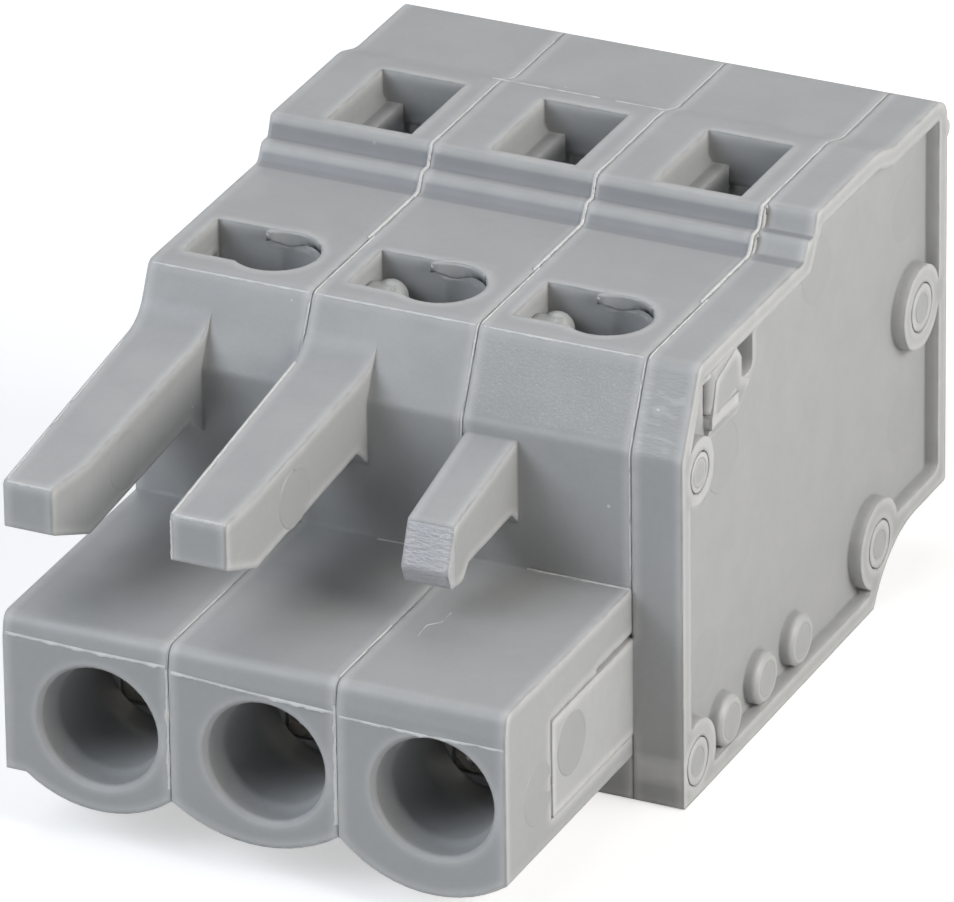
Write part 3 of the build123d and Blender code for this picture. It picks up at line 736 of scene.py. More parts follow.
@dataclass(frozen=True)
class RingMark:
    """The faint round rim that an ejector pin or a mould insert leaves on a right face."""

    name: str
    centre: Place
    radius: float
    width: float
    height: float
    disc: float = 0.0
    seed: int = 1
    count: int = 56
    lift: float = 0.5

    def _touch(
        self, layout: Layout, skin: Skin, share: float, index: int
    ) -> tuple[Vector, Vector, Vector] | None:
        """Find the face under one point of the ring.

        Args:
            layout: Turns measures into places.
            skin: The moulded surfaces.
            share: The point's distance from the centre, as a share of the radius.
            index: The point's number round the ring.

        Returns:
            The place, the face's normal and the way outward, or None past the face's edge.
        """
        angle = 2 * math.pi * index / self.count
        outward = Vector((0.0, math.sin(angle), math.cos(angle)))
        inward = Vector(Towards.LEFT.value)
        start = layout.at(*self.centre) + (outward * self.radius * share - inward * self.lift) * MM
        found = skin.touch(start, inward, 3 * self.lift * MM)
        return found and (*found, outward)

    def build(self, layout: Layout, skin: Skin) -> bpy.types.Object:
        """Lay the rim on the moulding.

        Args:
            layout: Turns measures into places.
            skin: The moulded surfaces.

        Returns:
            The piece.
        """
        touched = [self._touch(layout, skin, 1.0, index) for index in range(self.count)]
        ribs = []
        for foot, normal, outward in filter(None, touched):
            uneven_noise = noise.noise(Vector((outward.z * 2, outward.y * 2, self.seed * 5.7)))
            height = self.height * (0.8 + 0.7 * uneven_noise) * MM
            ribs.append(Rib(foot, normal, outward, 0.5 * self.width * MM, height))
        return ridge_mesh(self.name, ribs, len(ribs) == self.count)

    def build_disc(self, layout: Layout, skin: Skin) -> bpy.types.Object:
        """Lay the slightly raised disc inside the rim.

        Args:
            layout: Turns measures into places.
            skin: The moulded surfaces.

        Returns:
            The piece.
        """
        mesh = bmesh.new()
        rings: list[list[bmesh.types.BMVert]] = []
        for share, height in ((1.0, -0.01), (0.97, self.disc), (0.0, self.disc)):
            rise = Vector((height * MM, 0.0, 0.0))
            count = self.count if share else 1
            touched = [self._touch(layout, skin, share, index) for index in range(count)]
            rings.append([mesh.verts.new(found[0] + rise) for found in touched if found])
        outer, inner, middle = rings
        for index in range(len(outer)):
            after = (index + 1) % len(outer)
            mesh.faces.new((outer[index], outer[after], inner[after], inner[index]))
            mesh.faces.new((inner[index], inner[after], middle[0]))
        return finished_piece(f"{self.name}_disc", mesh)


@dataclass
class MouldMarks:
    """Every flash line, seam floor and ring on the moulded pieces."""

    layout: Layout
    skin: Skin
    finish: bpy.types.Material
    pale_finish: bpy.types.Material
    mark_finish: bpy.types.Material
    wall_front: float = 8.15
    knee_height: float = 10.6
    top_front: float = 9.3
    top_height: float = 13.0
    ridge_front: float = 17.0
    ridge_height: float = 14.1
    ridge_back: float = 21.5
    rear_height: float = 13.78
    back: float = 26.3
    nose_top: float = 6.5
    nose_front_height: float = 5.8
    seam_side: float = 0.07

    def build(self) -> None:
        """Make every mark and let it ride on the stack."""
        lines = self._step_flash() + self._top_flash() + self._nose_flash() + self._wall_flash()
        for line in lines + self._finger_flash():
            keep_on_stack(line.build(self.layout, self.skin), self.pale_finish)
        for fill in self._seam_fills():
            keep_on_stack(fill.build(self.layout, self.skin), self.finish)
        for ring in self._side_rings() + self._cover_rings():
            keep_on_stack(ring.build(self.layout, self.skin), self.mark_finish)
            if ring.disc:
                keep_on_stack(ring.build_disc(self.layout, self.skin), self.mark_finish)

    def _step_flash(self) -> list[FlashLine]:
        """Flash over the ridge's steps and down the front wall, at the left of each seam.

        Returns:
            The lines.
        """
        lines = []
        for number in range(1, POLES + 1):
            left = PITCH * number - self.seam_side
            steps = (
                (left, self.ridge_front - 1.2, self.top_height),
                (left, self.ridge_front - 0.9, self.top_height),
                (left, self.ridge_front - 0.62, self.top_height + 0.5),
                (left, self.ridge_front - 0.22, self.top_height + 0.5),
                (left, self.ridge_front, self.ridge_height),
                (left, self.ridge_front + 0.5, self.ridge_height),
            )
            slanted = Towards.DOWN_AND_BACK
            lines.append(FlashLine(f"flash_step_{number}", steps, slanted, 0.055, 0.09, -0.3, number))
            wall = (
                (left, self.wall_front, self.nose_top + 0.3),
                (left, self.wall_front, self.knee_height),
                (left, self.top_front, self.top_height),
            )
            back = Towards.BACK
            lines.append(FlashLine(f"flash_wall_{number}", wall, back, 0.035, 0.06, 0.3, 50 + number))
        return lines

    def _top_flash(self) -> list[FlashLine]:
        """Flash along the seams on the ridge, the rear top and the front top.

        Returns:
            The lines.
        """
        lines = []
        front = self.top_front
        for number in range(1, POLES + 1):
            left = PITCH * number - self.seam_side
            right = PITCH * number + 0.03
            ridge = (
                (left, self.ridge_front + 0.5, self.ridge_height),
                (left, self.ridge_back, self.ridge_height),
            )
            rear = (
                (left, self.ridge_back + 0.2, self.ridge_height - 0.05),
                (left, self.ridge_back + 1.1, self.rear_height),
                (left, self.back - 0.7, self.rear_height),
            )
            top = ((left, front + 3.6, self.top_height), (left, self.ridge_front - 1.2, self.top_height))
            fore = ((right, front, self.top_height), (right, front + 3.8, self.top_height))
            lines += [
                FlashLine(f"flash_ridge_{number}", ridge, Towards.DOWN, 0.04, 0.07, 0.0, 10 + number),
                FlashLine(f"flash_rear_{number}", rear, Towards.DOWN, 0.035, 0.06, 0.2, 20 + number),
                FlashLine(f"flash_top_{number}", top, Towards.DOWN, 0.06, 0.085, -0.2, 30 + number),
                FlashLine(f"flash_fore_{number}", fore, Towards.DOWN, 0.04, 0.07, 0.0, 40 + number),
            ]
        ramp = self.ridge_back + 0.25
        for number, (start, end) in enumerate(((4.6, 7.9), (8.4, 9.95)), 1):
            path = ((start, ramp, self.ridge_height), (end, ramp, self.ridge_height))
            down = Towards.DOWN
            lines.append(FlashLine(f"flash_ramp_{number}", path, down, 0.03, 0.09, 0.05, 45 + number))
        return lines

    def _nose_flash(self) -> list[FlashLine]:
        """The parting line across the nose fronts, and the seams between the noses.

        Returns:
            The lines.
        """
        heights = ((5.94, 5.89), (5.78, 5.58), (5.5, 5.48))
        lines = []
        for pole, (start, end) in enumerate(heights):
            x = pole * PITCH
            middle = (start + end) / 2 - 0.03
            path = ((x + 0.08, 0.0, start), (x + PITCH * 0.5, 0.0, middle), (x + 4.9, 0.0, end))
            strength = (0.04, 0.055, 0.02)[pole]
            lines.append(
                FlashLine(f"flash_nose_{pole + 1}", path, Towards.BACK, strength, 0.09, -0.3, 60 + pole)
            )
        for number in (1, 2):
            left = number * PITCH - self.seam_side
            top = ((left, 0.35, self.nose_top), (left, 3.6, self.nose_top))
            lines.append(
                FlashLine(f"flash_nose_seam_{number}", top, Towards.DOWN, 0.045, 0.07, 0.05, 70 + number)
            )
            front = ((left, 0.0, self.nose_front_height), (left, 0.0, 2.2))
            lines.append(
                FlashLine(f"flash_nose_front_{number}", front, Towards.BACK, 0.05, 0.1, -0.1, 74 + number)
            )
        scratch = ((10.85, 3.34, 6.5), (10.8, 4.02, 6.5), (11.1, 4.34, 6.5), (11.09, 4.91, 6.5))
        lines.append(FlashLine("scratch_nose_3", scratch, Towards.DOWN, 0.02, 0.05, 0.1, 79))
        return lines

    def _wall_flash(self) -> list[FlashLine]:
        """Flash along the foot of the front wall and along the front edge of the top.

        Returns:
            The lines.
        """
        lines = []
        for pole, (start, end) in enumerate(((2.3, 4.9), (2.4, 4.9), (1.9, 4.95))):
            x = pole * PITCH
            foot = self.wall_front - 0.05
            path = ((x + start, foot, self.nose_top), (x + end, foot, self.nose_top))
            down = Towards.DOWN
            lines.append(FlashLine(f"flash_foot_{pole + 1}", path, down, 0.04, 0.1, -0.05, 80 + pole))
            edge = self.top_front - 0.05
            rim = ((x + 0.1, edge, self.top_height), (x + 4.85, edge, self.top_height))
            lines.append(
                FlashLine(
                    f"flash_front_edge_{pole + 1}", rim, Towards.DOWN_AND_BACK, 0.025, 0.085, 0.1, 90 + pole
                )
            )
        return lines

    def _finger_flash(self) -> list[FlashLine]:
        """The ragged edges of the middle finger and the worn edges of the first.

        Returns:
            The lines.
        """
        ragged = ((5.03, 0.4, 10.36), (5.03, 4.0, 10.86), (5.03, 8.0, 11.4))
        side = ((5.03, 0.38, 10.2), (5.03, 0.38, 9.05))
        tip = ((5.1, 0.37, 10.36), (6.6, 0.37, 10.36))
        first_tip = ((0.1, 0.37, 10.36), (1.4, 0.37, 10.36))
        first_edge = ((0.05, 0.5, 10.38), (0.05, 7.5, 11.33))
        return [
            FlashLine("flash_finger_edge_2", ragged, Towards.DOWN, 0.06, 0.08, -0.2, 101),
            FlashLine("flash_finger_side_2", side, Towards.BACK, 0.04, 0.06, -0.2, 106),
            FlashLine("flash_finger_tip_2", tip, Towards.DOWN_AND_BACK, 0.04, 0.09, -0.2, 102),
            FlashLine("flash_finger_tip_1", first_tip, Towards.DOWN_AND_BACK, 0.03, 0.08, -0.1, 104),
            FlashLine("flash_finger_edge_1", first_edge, Towards.DOWN, 0.03, 0.06, 0.0, 105),
        ]

    def _seam_fills(self) -> list[SeamFill]:
        """The floors of the seams and of the tongue's closed edge.

        Returns:
            The floors.
        """
        fills = []
        for number in range(1, POLES + 1):
            x = PITCH * number - 0.085
            top = (
                (x, self.top_front + 0.1, self.top_height),
                (x, self.ridge_front - 0.9, self.top_height),
                (x, self.ridge_front - 0.62, self.top_height + 0.5),
                (x, self.ridge_front - 0.22, self.top_height + 0.5),
                (x, self.ridge_front, self.ridge_height),
                (x, self.ridge_back, self.ridge_height),
                (x, self.ridge_back + 1.0, self.rear_height),
                (x, self.back - 0.1, self.rear_height),
            )
            wall = (
                (x, self.wall_front, 0.6 if number == POLES else self.nose_top + 0.1),
                (x, self.wall_front, self.knee_height),
                (x, self.top_front, self.top_height),
            )
            fills.append(SeamFill(f"seam_top_{number}", top, Towards.DOWN_AND_BACK, seed=number))
            fills.append(SeamFill(f"seam_wall_{number}", wall, Towards.BACK, depth=0.05, seed=10 + number))
            if number < POLES:
                nose = ((x, 0.3, self.nose_top), (x, self.wall_front - 0.1, self.nose_top))
                front = ((x, 0.0, self.nose_front_height + 0.3), (x, 0.0, 1.9))
                fills += [
                    SeamFill(f"seam_nose_{number}", nose, Towards.DOWN, depth=0.05, seed=20 + number),
                    SeamFill(f"seam_front_{number}", front, Towards.BACK, depth=0.06, seed=30 + number),
                ]
        edge = ((15.0, 2.8, 2.1), (15.0, 2.8, 4.95))
        fills.append(
            SeamFill("seam_tongue", edge, Towards.LEFT, (0.0, 0.08, 0.0), 0.012, 0.07, seed=41)
        )
        return fills

    def _side_rings(self) -> list[RingMark]:
        """Ejector marks on the fingers, on the last nose and on its tongue.

        Returns:
            The rings.
        """
        return [
            RingMark("ring_finger_1", (2.5, 3.85, 9.77), 0.82, 0.15, 0.014, disc=0.01, seed=1),
            RingMark("ring_finger_2", (7.5, 3.98, 9.58), 0.82, 0.17, 0.02, disc=0.012, seed=2),
            RingMark("ring_nose_side", (15.0, 2.05, 3.2), 0.87, 0.1, 0.01, disc=0.008, seed=3),
            RingMark("ring_tongue", (15.0, 4.15, 3.75), 0.86, 0.17, 0.018, disc=0.01, seed=4),
        ]

    @staticmethod
    def _cover_rings() -> list[RingMark]:
        """Ejector marks on the cover and the rims in its pins and knobs.

        Returns:
            The rings.
        """
        cover = POLES * PITCH + 1.5
        rings = [
            RingMark("ring_cover_pin", (cover, 11.7, 9.15), 1.01, 0.17, 0.018, disc=0.01, seed=14)
        ]
        faces = ((24.3, 11.1), (24.05, 4.6), (18.1, 11.9), (10.4, 3.4))
        for index, (y, z) in enumerate(faces):
            rings.append(
                RingMark(
                    f"ring_cover_{index + 1}", (cover, y, z), 0.95, 0.14, 0.006, disc=0.008, seed=10 + index
                )
            )
        for index, (y, z) in enumerate(((9.3, 9.81), (9.1, 1.09), (24.55, 7.94), (21.6, 1.88))):
            rings.append(
                RingMark(f"ring_pin_{index + 1}", (cover, y, z), 0.41, 0.09, 0.014, seed=20 + index)
            )
        for index, (y, z) in enumerate(((11.4, 1.22), (13.82, 1.36), (16.26, 1.38))):
            rings.append(
                RingMark(f"ring_knob_{index + 1}", (cover, y, z), 0.5, 0.08, 0.008, seed=30 + index)
            )
        return rings


@dataclass
class ClampSpring:
    """One cage clamp spring, whose loop bends between its foot and its cage."""

    number: int
    low: Vector
    high: Vector
    pivot: Vector
    finish: bpy.types.Material
    strip: float = 0.35
    foot_length: float = 4.1
    leg_rise: float = 1.155
    bend_radius: float = 0.6
    window_width: float = 1.9
    window_drop: float = 1.25
    window_base: float = 0.86
    arc_step: float = 9.0

    def build(self) -> None:
        """Make the loop and the cage, which turns with its clamp."""
        half = self.strip * MM / 2
        front = self.low.y + half
        radius = self.pivot.y - front
        foot = self.pivot.z - radius
        leg = self.pivot.z + radius
        cage = self.high.y - half
        cage_top = leg + self.leg_rise * MM
        lean = math.atan2(cage_top - leg, cage - front)
        turn = Vector((front, leg))
        along = Vector((math.cos(lean), math.sin(lean)))
        split = turn + along * (radius * 1.1)
        loop = self._rounded(
            [
                (self.pivot.y + self.foot_length * MM, foot, 0.0),
                (front, foot, radius * 0.984),
                (front, leg, radius * 0.975),
                (split.x, split.y, 0.0),
            ]
        )
        arm = self._rounded(
            [
                (split.x, split.y, 0.0),
                (cage, cage_top, self.bend_radius * MM),
                (cage, cage_top - self.window_drop * MM, 0.0),
                (cage, self.low.z + self.window_base * MM, 0.0),
                (cage, self.low.z, 0.0),
            ]
        )
        clamp = Body.CLAMP.value.format(self.number)
        node = f"clamp_spring_{self.number}"
        loop_piece = self._strip_mesh(f"spring_loop_{self.number}", loop, None)
        window = (self.low.z + self.window_base * MM, cage_top - self.window_drop * MM)
        cage_piece = self._strip_mesh(f"spring_cage_{self.number}", arm, window)
        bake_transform(loop_piece)
        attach(cage_piece, clamp)
        for piece in (loop_piece, cage_piece):
            piece.data.materials.append(self.finish)
            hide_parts(node)
            LOG.info("bent %s", piece.name)

    def _rounded(self, corners: list[tuple[float, float, float]]) -> list[Vector]:
        """Round the corners of a path in Y and Z.

        Args:
            corners: Depth, height and rounding radius of each corner, in metres.

        Returns:
            The points of the rounded path.
        """
        points = [Vector(corners[0][:2])]
        for before, corner, after in zip(corners, corners[1:], corners[2:]):
            here = Vector(corner[:2])
            back = (Vector(before[:2]) - here).normalized()
            ahead = (Vector(after[:2]) - here).normalized()
            if corner[2] == 0.0:
                points.append(here)
                continue
            half_angle = back.angle(ahead) / 2
            centre = here + (back + ahead).normalized() * corner[2] / math.sin(half_angle)
            reach = corner[2] / math.tan(half_angle)
            first = here + back * reach - centre
            turn = first.angle_signed(here + ahead * reach - centre)
            count = max(2, round(abs(math.degrees(turn)) / self.arc_step))
            for index in range(count + 1):
                arm = first.copy()
                arm.rotate(Matrix.Rotation(-turn * index / count, 2))
                points.append(centre + arm)
        points.append(Vector(corners[-1][:2]))
        return points

    def _strip_mesh(
        self, name: str, path: list[Vector], window: tuple[float, float] | None
    ) -> bpy.types.Object:
        """Give a path in Y and Z the strip's width and thickness.

        Args:
            name: The piece's name.
            path: The middle line of the strip.
            window: The lowest and highest edge of the window in the upright, or None.

        Returns:
            The piece.
        """
        side = ((self.high.x - self.low.x) - self.window_width * MM) / 2
        across = [self.low.x, self.low.x + side, self.high.x - side, self.high.x]
        mesh = bmesh.new()
        sheets: list[list[list[bmesh.types.BMVert]]] = [[], []]
        for index, point in enumerate(path):
            before = path[max(index - 1, 0)]
            after = path[min(index + 1, len(path) - 1)]
            tangent = (after - before).normalized()
            normal = Vector((-tangent.y, tangent.x)) * self.strip * MM / 2
            for layer, sign in enumerate((1, -1)):
                place = point + normal * sign
                sheets[layer].append([mesh.verts.new((x, place.x, place.y)) for x in across])
        filled = {}
        for row in range(len(path) - 1):
            level = (path[row].y + path[row + 1].y) / 2
            upright = abs(path[row].x - path[row + 1].x) < 1e-7
            for column in range(3):
                hole = window and upright and column == 1 and window[0] < level < window[1]
                filled[row, column] = not hole
        for (row, column), present in filled.items():
            if present:
                self._cell(mesh, sheets, filled, row, column)
        loose = [vertex for vertex in mesh.verts if not vertex.link_faces]
        bmesh.ops.delete(mesh, geom=loose, context="VERTS")
        return finished_piece(name, mesh)

    @staticmethod
    def _cell(
        mesh: bmesh.types.BMesh,
        sheets: list[list[list[bmesh.types.BMVert]]],
        filled: dict[tuple[int, int], bool],
        row: int,
        column: int,
    ) -> None:
        """Face one cell of the strip on both sides, and wall it where it has no neighbour.

        Args:
            mesh: The mesh that gets the faces.
            sheets: The points of both sides, by row and column.
            filled: Which cells are there.
            row: The cell's row.
            column: The cell's column.
        """
        for layer in sheets:
            near, far = layer[row], layer[row + 1]
            mesh.faces.new((near[column], near[column + 1], far[column + 1], far[column]))
        outer, inner = sheets
        edges = {
            (row - 1, column): ((row, column), (row, column + 1)),
            (row + 1, column): ((row + 1, column), (row + 1, column + 1)),
            (row, column - 1): ((row, column), (row + 1, column)),
            (row, column + 1): ((row, column + 1), (row + 1, column + 1)),
        }
        for neighbour, ((r1, c1), (r2, c2)) in edges.items():
            if not filled.get(neighbour, False):
                mesh.faces.new((outer[r1][c1], outer[r2][c2], inner[r2][c2], inner[r1][c1]))


def shaped_piece(
    name: str, points: list[Vector], faces: list[tuple[int, ...]], smooth: bool
) -> bpy.types.Object:
    """Make a piece from points and faces.

    Args:
        name: The piece's name.
        points: Its points, in metres.
        faces: Its faces.
        smooth: Whether it shades as one curved surface.

    Returns:
        The piece.
    """
    mesh = bmesh.new()
    corners = [mesh.verts.new(point) for point in points]
    for face in faces:
        mesh.faces.new([corners[i] for i in face])
    return finished_piece(name, mesh, smooth)


def sheet_faces(rows: int, columns: int, closed: bool = False) -> list[tuple[int, ...]]:
    """Faces of a grid of points, whose last column may join its first.

    Args:
        rows: The number of rows.
        columns: The number of columns.
        closed: Whether the last column joins the first.

    Returns:
        The faces, as point numbers.
    """
    faces = []
    for row in range(rows - 1):
        for column in range(columns if closed else columns - 1):
            after = (column + 1) % columns
            start, above = row * columns, (row + 1) * columns
            faces.append((start + column, start + after, above + after, above + column))
    return faces


@dataclass
class OpeningDetails:
    """What shows in the openings: the bores' taper, the hooks' heads, the lips and the last hook."""

    layout: Layout
    finish: bpy.types.Material
    thin_finish: bpy.types.Material
    pale_finish: bpy.types.Material
    bore_x: float = 2.82
    bore_height: float = 3.6
    bore_profile: tuple[tuple[float, float], ...] = (
        (0.12, 1.79),
        (0.2, 1.766),
        (0.35, 1.752),
        (0.48, 1.73),
        (0.6, 1.694),
        (0.72, 1.645),
        (0.82, 1.608),
        (0.95, 1.6),
        (2.6, 1.597),
        (3.85, 1.595),
    )
    bore_wall: float = 0.06
    bore_count: int = 72
    test_x: float = 2.95
    test_depth: float = 11.2
    test_radius: float = 1.27
    top_height: float = 13.0
    lip_start: float = 2.15
    lip_step: float = 0.22
    lip_foot_heights: tuple[float, ...] = (12.93, 12.66, 12.52, 12.5, 12.56, 12.66, 12.74, 12.72, 12.86)
    ledge_sides: tuple[float, float] = (1.5, 2.22)
    ledge_ends: tuple[float, float] = (17.3, 20.95)
    ledge_heights: tuple[float, float] = (12.3, 13.14)
    hook_centre: Place = (1.13, 11.8, 11.93)
    hook_radii: Place = (0.5, 0.5, 0.52)

    def build(self) -> None:
        """Make the details and let them ride on the stack."""
        for pole in range(POLES):
            keep_on_stack(self._bore(pole), self.thin_finish)
            # The lips and hook heads take the lighter grey, which is a painted highlight.
            keep_on_stack(self._lip(pole), self.pale_finish)
            keep_on_stack(self._ledge(pole), self.finish)
            if pole > 0:
                keep_on_stack(self._hook_head(pole), self.pale_finish)
        keep_on_stack(self._last_hook(), self.finish)

    def _bore(self, pole: int) -> bpy.types.Object:
        """The smooth taper from a socket's mouth to its bore, as a thin closed tube.

        Args:
            pole: The pole's number, from nothing.

        Returns:
            The piece.
        """
        outside = tuple((depth, radius + self.bore_wall) for depth, radius in reversed(self.bore_profile))
        points = []
        for depth, radius in self.bore_profile + outside:
            for index in range(self.bore_count):
                angle = 2 * math.pi * index / self.bore_count
                x = pole * PITCH + self.bore_x + radius * math.cos(angle)
                points.append(self.layout.at(x, depth, self.bore_height + radius * math.sin(angle)))
        rows = len(points) // self.bore_count
        faces = sheet_faces(rows, self.bore_count, True)
        last = (rows - 1) * self.bore_count
        for index in range(self.bore_count):
            after = (index + 1) % self.bore_count
            faces.append((last + index, last + after, after, index))
        return shaped_piece(f"bore_{pole + 1}", points, faces, True)

    def _lip(self, pole: int) -> bpy.types.Object:
        """The lip of squeezed plastic on the round end of a test opening.

        Args:
            pole: The pole's number, from nothing.

        Returns:
            The piece.
        """
        count = len(self.lip_foot_heights)
        points = []
        for index, low in enumerate(self.lip_foot_heights):
            x = self.lip_start + self.lip_step * index
            across = min(max(x - self.test_x, -0.75), self.test_radius - 0.03)
            wall = self.test_depth + math.sqrt(self.test_radius**2 - across**2)
            share = math.sin(math.pi * (index + 0.3) / (count - 0.4))
            wave = noise.noise(Vector((x * 3.1, pole * 4.7, 1.0)))
            swell = max(0.01, (0.022 + 0.008 * wave) * share)
            outline = (
                (wall + 0.16 + 0.16 * share, self.top_height - 0.03),
                (wall + 0.1 + 0.16 * share, self.top_height + 0.003),
                (wall - 0.005, self.top_height - 0.012),
                (wall - swell * 0.45, self.top_height - 0.09),
                (wall - swell, self.top_height - 0.3),
                (wall - swell * 0.55, (low + self.top_height - 0.3) / 2),
                (wall - 0.006, low + 0.03),
                (wall + 0.03, low),
            )
            points += [self.layout.at(pole * PITCH + x, y, z) for y, z in outline]
        columns = 8
        rows = len(points) // columns
        faces = sheet_faces(rows, columns, True)
        faces += [tuple(range(columns)), tuple(range((rows - 1) * columns, rows * columns))]
        return shaped_piece(f"test_lip_{pole + 1}", points, faces, True)

    def _ledge(self, pole: int) -> bpy.types.Object:
        """The square ledge along the left wall of an operating opening.

        Args:
            pole: The pole's number, from nothing.

        Returns:
            The piece.
        """
        points = []
        for x in self.ledge_sides:
            for y in self.ledge_ends:
                points += [self.layout.at(pole * PITCH + x, y, z) for z in self.ledge_heights]
        faces = [(0, 1, 3, 2), (4, 5, 7, 6), (0, 1, 5, 4), (2, 3, 7, 6), (0, 2, 6, 4), (1, 3, 7, 5)]
        return shaped_piece(f"ledge_{pole + 1}", points, faces, False)

    def _hook_head(self, pole: int) -> bpy.types.Object:
        """The rounded head of the neighbour's snap hook, in the slot of a test opening.

        Args:
            pole: The pole's number, from nothing.

        Returns:
            The piece.
        """
        middle_x, middle_y, middle_z = self.hook_centre
        wide, deep, tall = self.hook_radii
        rows, columns = 15, 28
        points = []
        for row in range(rows):
            rise = -math.pi / 2 + math.pi * (row + 0.5) / rows
            for column in range(columns):
                turn = 2 * math.pi * column / columns
                x = pole * PITCH + middle_x + wide * math.cos(rise) * math.cos(turn)
                y = middle_y + deep * math.cos(rise) * math.sin(turn)
                points.append(self.layout.at(x, y, middle_z + tall * math.sin(rise)))
        faces = sheet_faces(rows, columns, True)
        faces += [tuple(range(columns)), tuple(range((rows - 1) * columns, rows * columns))]
        return shaped_piece(f"hook_head_{pole}", points, faces, True)

    def _last_hook(self) -> bpy.types.Object:
        """The flat end of the last hook, which runs down into the cover's face.

        Returns:
            The piece.
        """
        proud, flush, under = 16.375, 16.09, 15.7
        outline = (
            (proud, 10.7, 11.9),
            (proud, 12.04, 12.32),
            (proud, 12.37, 11.9),
            (proud, 12.37, 11.3),
            (flush, 13.6, 10.6),
            (flush, 12.7, 9.95),
            (flush, 10.52, 9.95),
            (proud - 0.03, 10.48, 10.75),
        )
        count = len(outline)
        points = [self.layout.at(*place) for place in outline]
        points += [self.layout.at(under, y, z) for _, y, z in outline]
        faces = [(0, 1, 2, 3, 7), (3, 4, 5), (3, 5, 7), (5, 6, 7), tuple(range(count, 2 * count))]
        faces += [(i, (i + 1) % count, count + (i + 1) % count, count + i) for i in range(count)]
        return shaped_piece("hook_end", points, faces, False)


@dataclass(frozen=True)
class Lamp:
    """One square soft lamp, placed by the side it shines from."""

    name: str
    bearing: float
    elevation: float
    power: Place
    size: float = 0.16
    distance: float = 0.25

    def build(self, target: Vector) -> None:
        """Stand the lamp round its target.

        Args:
            target: The place that it is aimed at.
        """
        bearing = math.radians(self.bearing)
        rise = math.radians(self.elevation)
        level = math.cos(rise)
        arm = Vector((level * math.cos(bearing), level * math.sin(bearing), math.sin(rise)))
        strongest = max(self.power)
        data = bpy.data.lights.new(self.name, "AREA")
        data.size = self.size
        data.energy = strongest
        data.color = tuple(channel / strongest for channel in self.power)
        lamp = bpy.data.objects.new(self.name, data)
        lamp.location = target + arm * self.distance
        lamp.rotation_euler = (-arm).to_track_quat("-Z", "Y").to_euler()
        lamp.visible_camera = False
        bpy.context.scene.collection.objects.link(lamp)


@dataclass
class Studio:
    """The floor, the lamps, the world and the camera."""

    lens_mm: float = 467.53
    camera_place: Place = (0.130365, -0.276173, 0.160461)
    camera_forward: Place = (-0.38202602, 0.80773032, -0.4490299)
    camera_up: Place = (-0.18020367, 0.4114483, 0.89344107)
    world_strength: float = 0.02
    floor_half: float = 2.0
    floor_grey: float = 0.75
    floor_glow: float = 0.5
    target_height: float = 6.0
    lamps: list[Lamp] = field(
        default_factory=lambda: [
            Lamp("right", 0.0, 30.0, (0.240, 0.234, 0.230)),
            Lamp("left_front", 225.0, 40.0, (0.222, 0.244, 0.272)),
            Lamp("right_back", 30.0, 30.0, (0.095, 0.099, 0.095)),
            Lamp("low_left_front", 235.0, 25.0, (0.172, 0.178, 0.182)),
            Lamp("left_back", 135.0, 55.0, (0.110, 0.107, 0.110)),
            Lamp("near_right", 352.0, 25.0, (0.078, 0.075, 0.071), 0.06, 0.12),
            Lamp("back", 90.0, 40.0, (0.010, 0.009, 0.0085)),
        ]
    )

    def build(self) -> None:
        """Set up everything round the object."""
        self._camera()
        self._world()
        self._floor()
        for lamp in self.lamps:
            lamp.build(Vector((0.0, 0.0, self.target_height * MM)))

    def _camera(self) -> None:
        """Place the camera as the photograph's was."""
        data = bpy.data.cameras.new("camera")
        data.lens = self.lens_mm
        data.clip_start = 0.01
        data.clip_end = 10
        camera = bpy.data.objects.new("camera", data)
        forward = Vector(self.camera_forward).normalized()
        up = Vector(self.camera_up)
        right = forward.cross(up).normalized()
        up = right.cross(forward)
        turn = Matrix((right, up, -forward)).transposed().to_4x4()
        camera.matrix_world = Matrix.Translation(self.camera_place) @ turn
        bpy.context.scene.collection.objects.link(camera)
        bpy.context.scene.camera = camera

    def _world(self) -> None:
        """A white surround that lights the object softly."""
        sheet = NodeSheet(bpy.data.worlds.new("surround"))
        camera = sheet.add("ShaderNodeLightPath", {}, {}, "Is Camera Ray")
        glossy = sheet.add("ShaderNodeLightPath", {}, {}, "Is Glossy Ray")
        through = sheet.add("ShaderNodeLightPath", {}, {}, "Is Transmission Ray")
        strength = self.world_strength + (1.0 - self.world_strength) * (camera | glossy | through)
        white = {"Color": (1.0, 1.0, 1.0, 1.0), "Strength": strength}
        bpy.context.scene.world = sheet.output(sheet.add("ShaderNodeBackground", {}, white))

    def _floor(self) -> None:
        """A plain white floor that keeps the object's shadow."""
        mesh = bpy.data.meshes.new("floor")
        half = self.floor_half
        mesh.from_pydata(
            [(-half, -half, 0), (half, -half, 0), (half, half, 0), (-half, half, 0)], [], [(0, 1, 2, 3)]
        )
        floor = bpy.data.objects.new("floor", mesh)
        bpy.context.scene.collection.objects.link(floor)
        sheet = NodeSheet.for_material("floor_white")
        rays = sheet.add("ShaderNodeLightPath", {}, {}, "Is Camera Ray")
        grey = (self.floor_grey, self.floor_grey, self.floor_grey, 1.0)
        diffuse = sheet.add("ShaderNodeBsdfDiffuse", {}, {"Color": grey})
        glow = sheet.add(
            "ShaderNodeEmission", {}, {"Color": (1.0, 1.0, 1.0, 1.0), "Strength": self.floor_glow}
        )
        both = sheet.add("ShaderNodeAddShader", {}, {0: diffuse, 1: glow})
        seen = sheet.add("ShaderNodeMixShader", {}, {0: rays, 1: diffuse, 2: both})
        mesh.materials.append(sheet.output(seen))


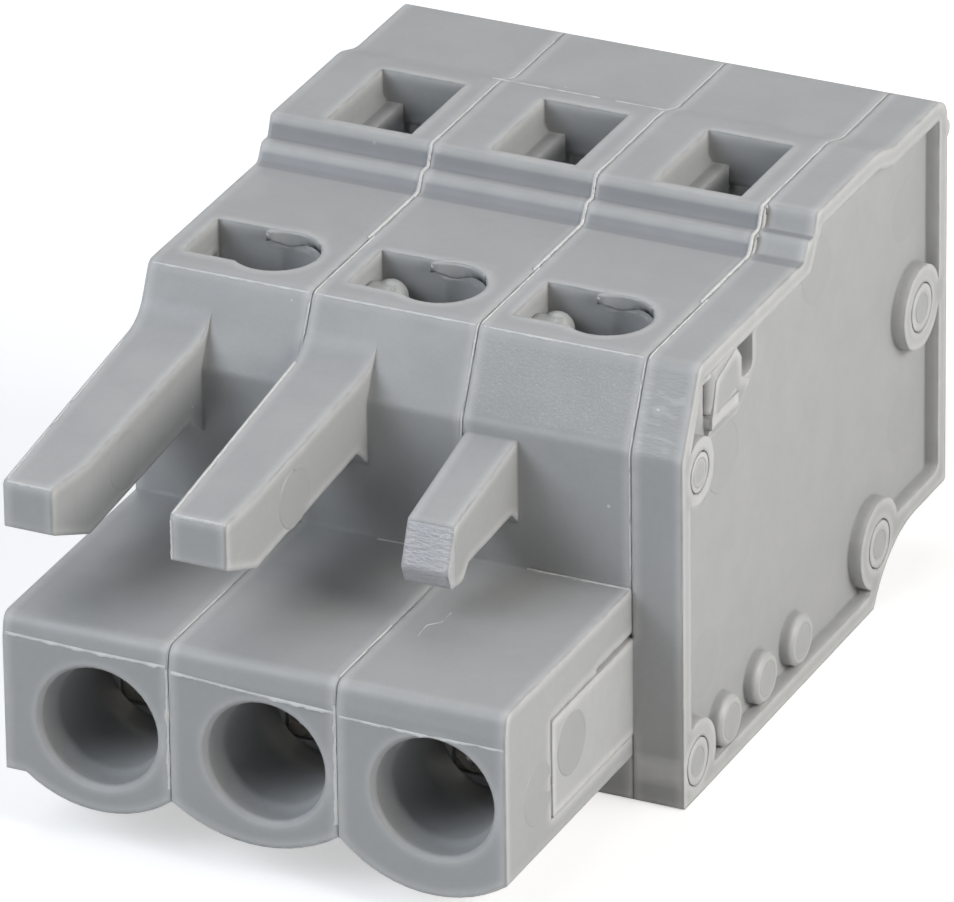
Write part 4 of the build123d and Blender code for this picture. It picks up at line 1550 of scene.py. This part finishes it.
def grey_polyamide(layout: Layout) -> bpy.types.Material:
    """The housings' finish, with the places where the moulding looks unlike the rest, and with painted
    shade in the corners of the ridge's steps and a painted sheen on the lips.

    Args:
        layout: Turns measures into places.

    Returns:
        The material.
    """
    # Painted shade in the concave corners at the foot of each step of the ridge.
    steps = []
    for pole in range(POLES + 1):
        left = PITCH * pole + 0.02
        right = PITCH * (pole + 1) - 0.05
        steps.append(Patch((left, 15.8, 12.9), (right, 16.36, 13.36), 0.14))
        steps.append(Patch((left, 16.62, 13.4), (right, 17.0, 13.95), 0.12))
    # The lips of the test openings: less rough, and with a painted sheen.
    lips = tuple(
        Patch((PITCH * pole + 2.2, 12.0, 12.35), (PITCH * pole + 4.1, 12.9, 13.05), 0.2)
        for pole in range(POLES)
    )
    return Polyamide(
        "polyamide_grey",
        layout.corner,
        grain_patches=(Patch((10.15, 7.9, 10.75), (14.95, 9.25, 12.8), 0.15),),
        streak_patches=(Patch((14.95, 7.9, 10.5), (16.4, 9.4, 12.9), 0.2),),
        gloss_and_sheen_patches=lips,
        scar_patches=(Patch((10.0, 3.7, 7.55), (11.6, 4.42, 9.4), 0.04),),
        painted_corner_shade_patches=tuple(steps),
    ).make()


def main() -> None:
    """Build the connector's looks and the studio."""
    logging.basicConfig(level=logging.INFO, format="%(name)s: %(message)s")
    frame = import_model()
    layout = Layout.from_frame()
    grey = grey_polyamide(layout)
    thin = Polyamide("polyamide_bore", layout.corner, thin=True).make()
    pale = Polyamide(
        "polyamide_flash",
        layout.corner,
        colour=(0.62, 0.625, 0.62, 1.0),
        shade=(0.54, 0.545, 0.545, 1.0),
        thin=True,
    ).make()
    # A lighter grey of the same plastic for the lips and the hooks' heads: a painted highlight on these
    # small curved faces.
    painted_highlight_grey = Polyamide(
        "polyamide_painted_highlight",
        layout.corner,
        colour=(0.43, 0.435, 0.435, 1.0),
        shade=(0.38, 0.385, 0.39, 1.0),
        roughness=0.38,
        thin=True,
    ).make()
    mark = Polyamide("polyamide_mark", layout.corner, colour=(0.335, 0.34, 0.343, 1.0), thin=True).make()
    tin = Metal("tin_plate", (0.86, 0.83, 0.78, 1.0), (0.55, 0.5, 0.44, 1.0), 0.22, 0.12).make()
    # Painted shade: the spring steel is made nearly black, as it shows in the shade of the operating
    # openings.
    shade_dark_steel = Metal("spring_strip", (0.075, 0.073, 0.071, 1.0), (0.045, 0.044, 0.043, 1.0), 0.36).make()
    moulded = []
    for name, node in frame["nodes"].items():
        if name.startswith("contact"):
            finish = tin
        elif name.startswith("clamp"):
            finish = shade_dark_steel
        else:
            finish = grey
            moulded.append(node)
        node.data.materials.clear()
        node.data.materials.append(finish)
        LOG.info("dressed %s", name)
    MouldMarks(layout, Skin(moulded), grey, pale, mark).build()
    OpeningDetails(layout, grey, thin, painted_highlight_grey).build()
    for number, joint in enumerate(frame["joints"], 1):
        low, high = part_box(f"clamp_spring_{number}")
        ClampSpring(number, low, high, Vector(joint["pos_m"]), shade_dark_steel).build()
    Studio().build()
    bpy.context.scene.view_settings.view_transform = "Standard"


if __name__ == "__main__":
    main()
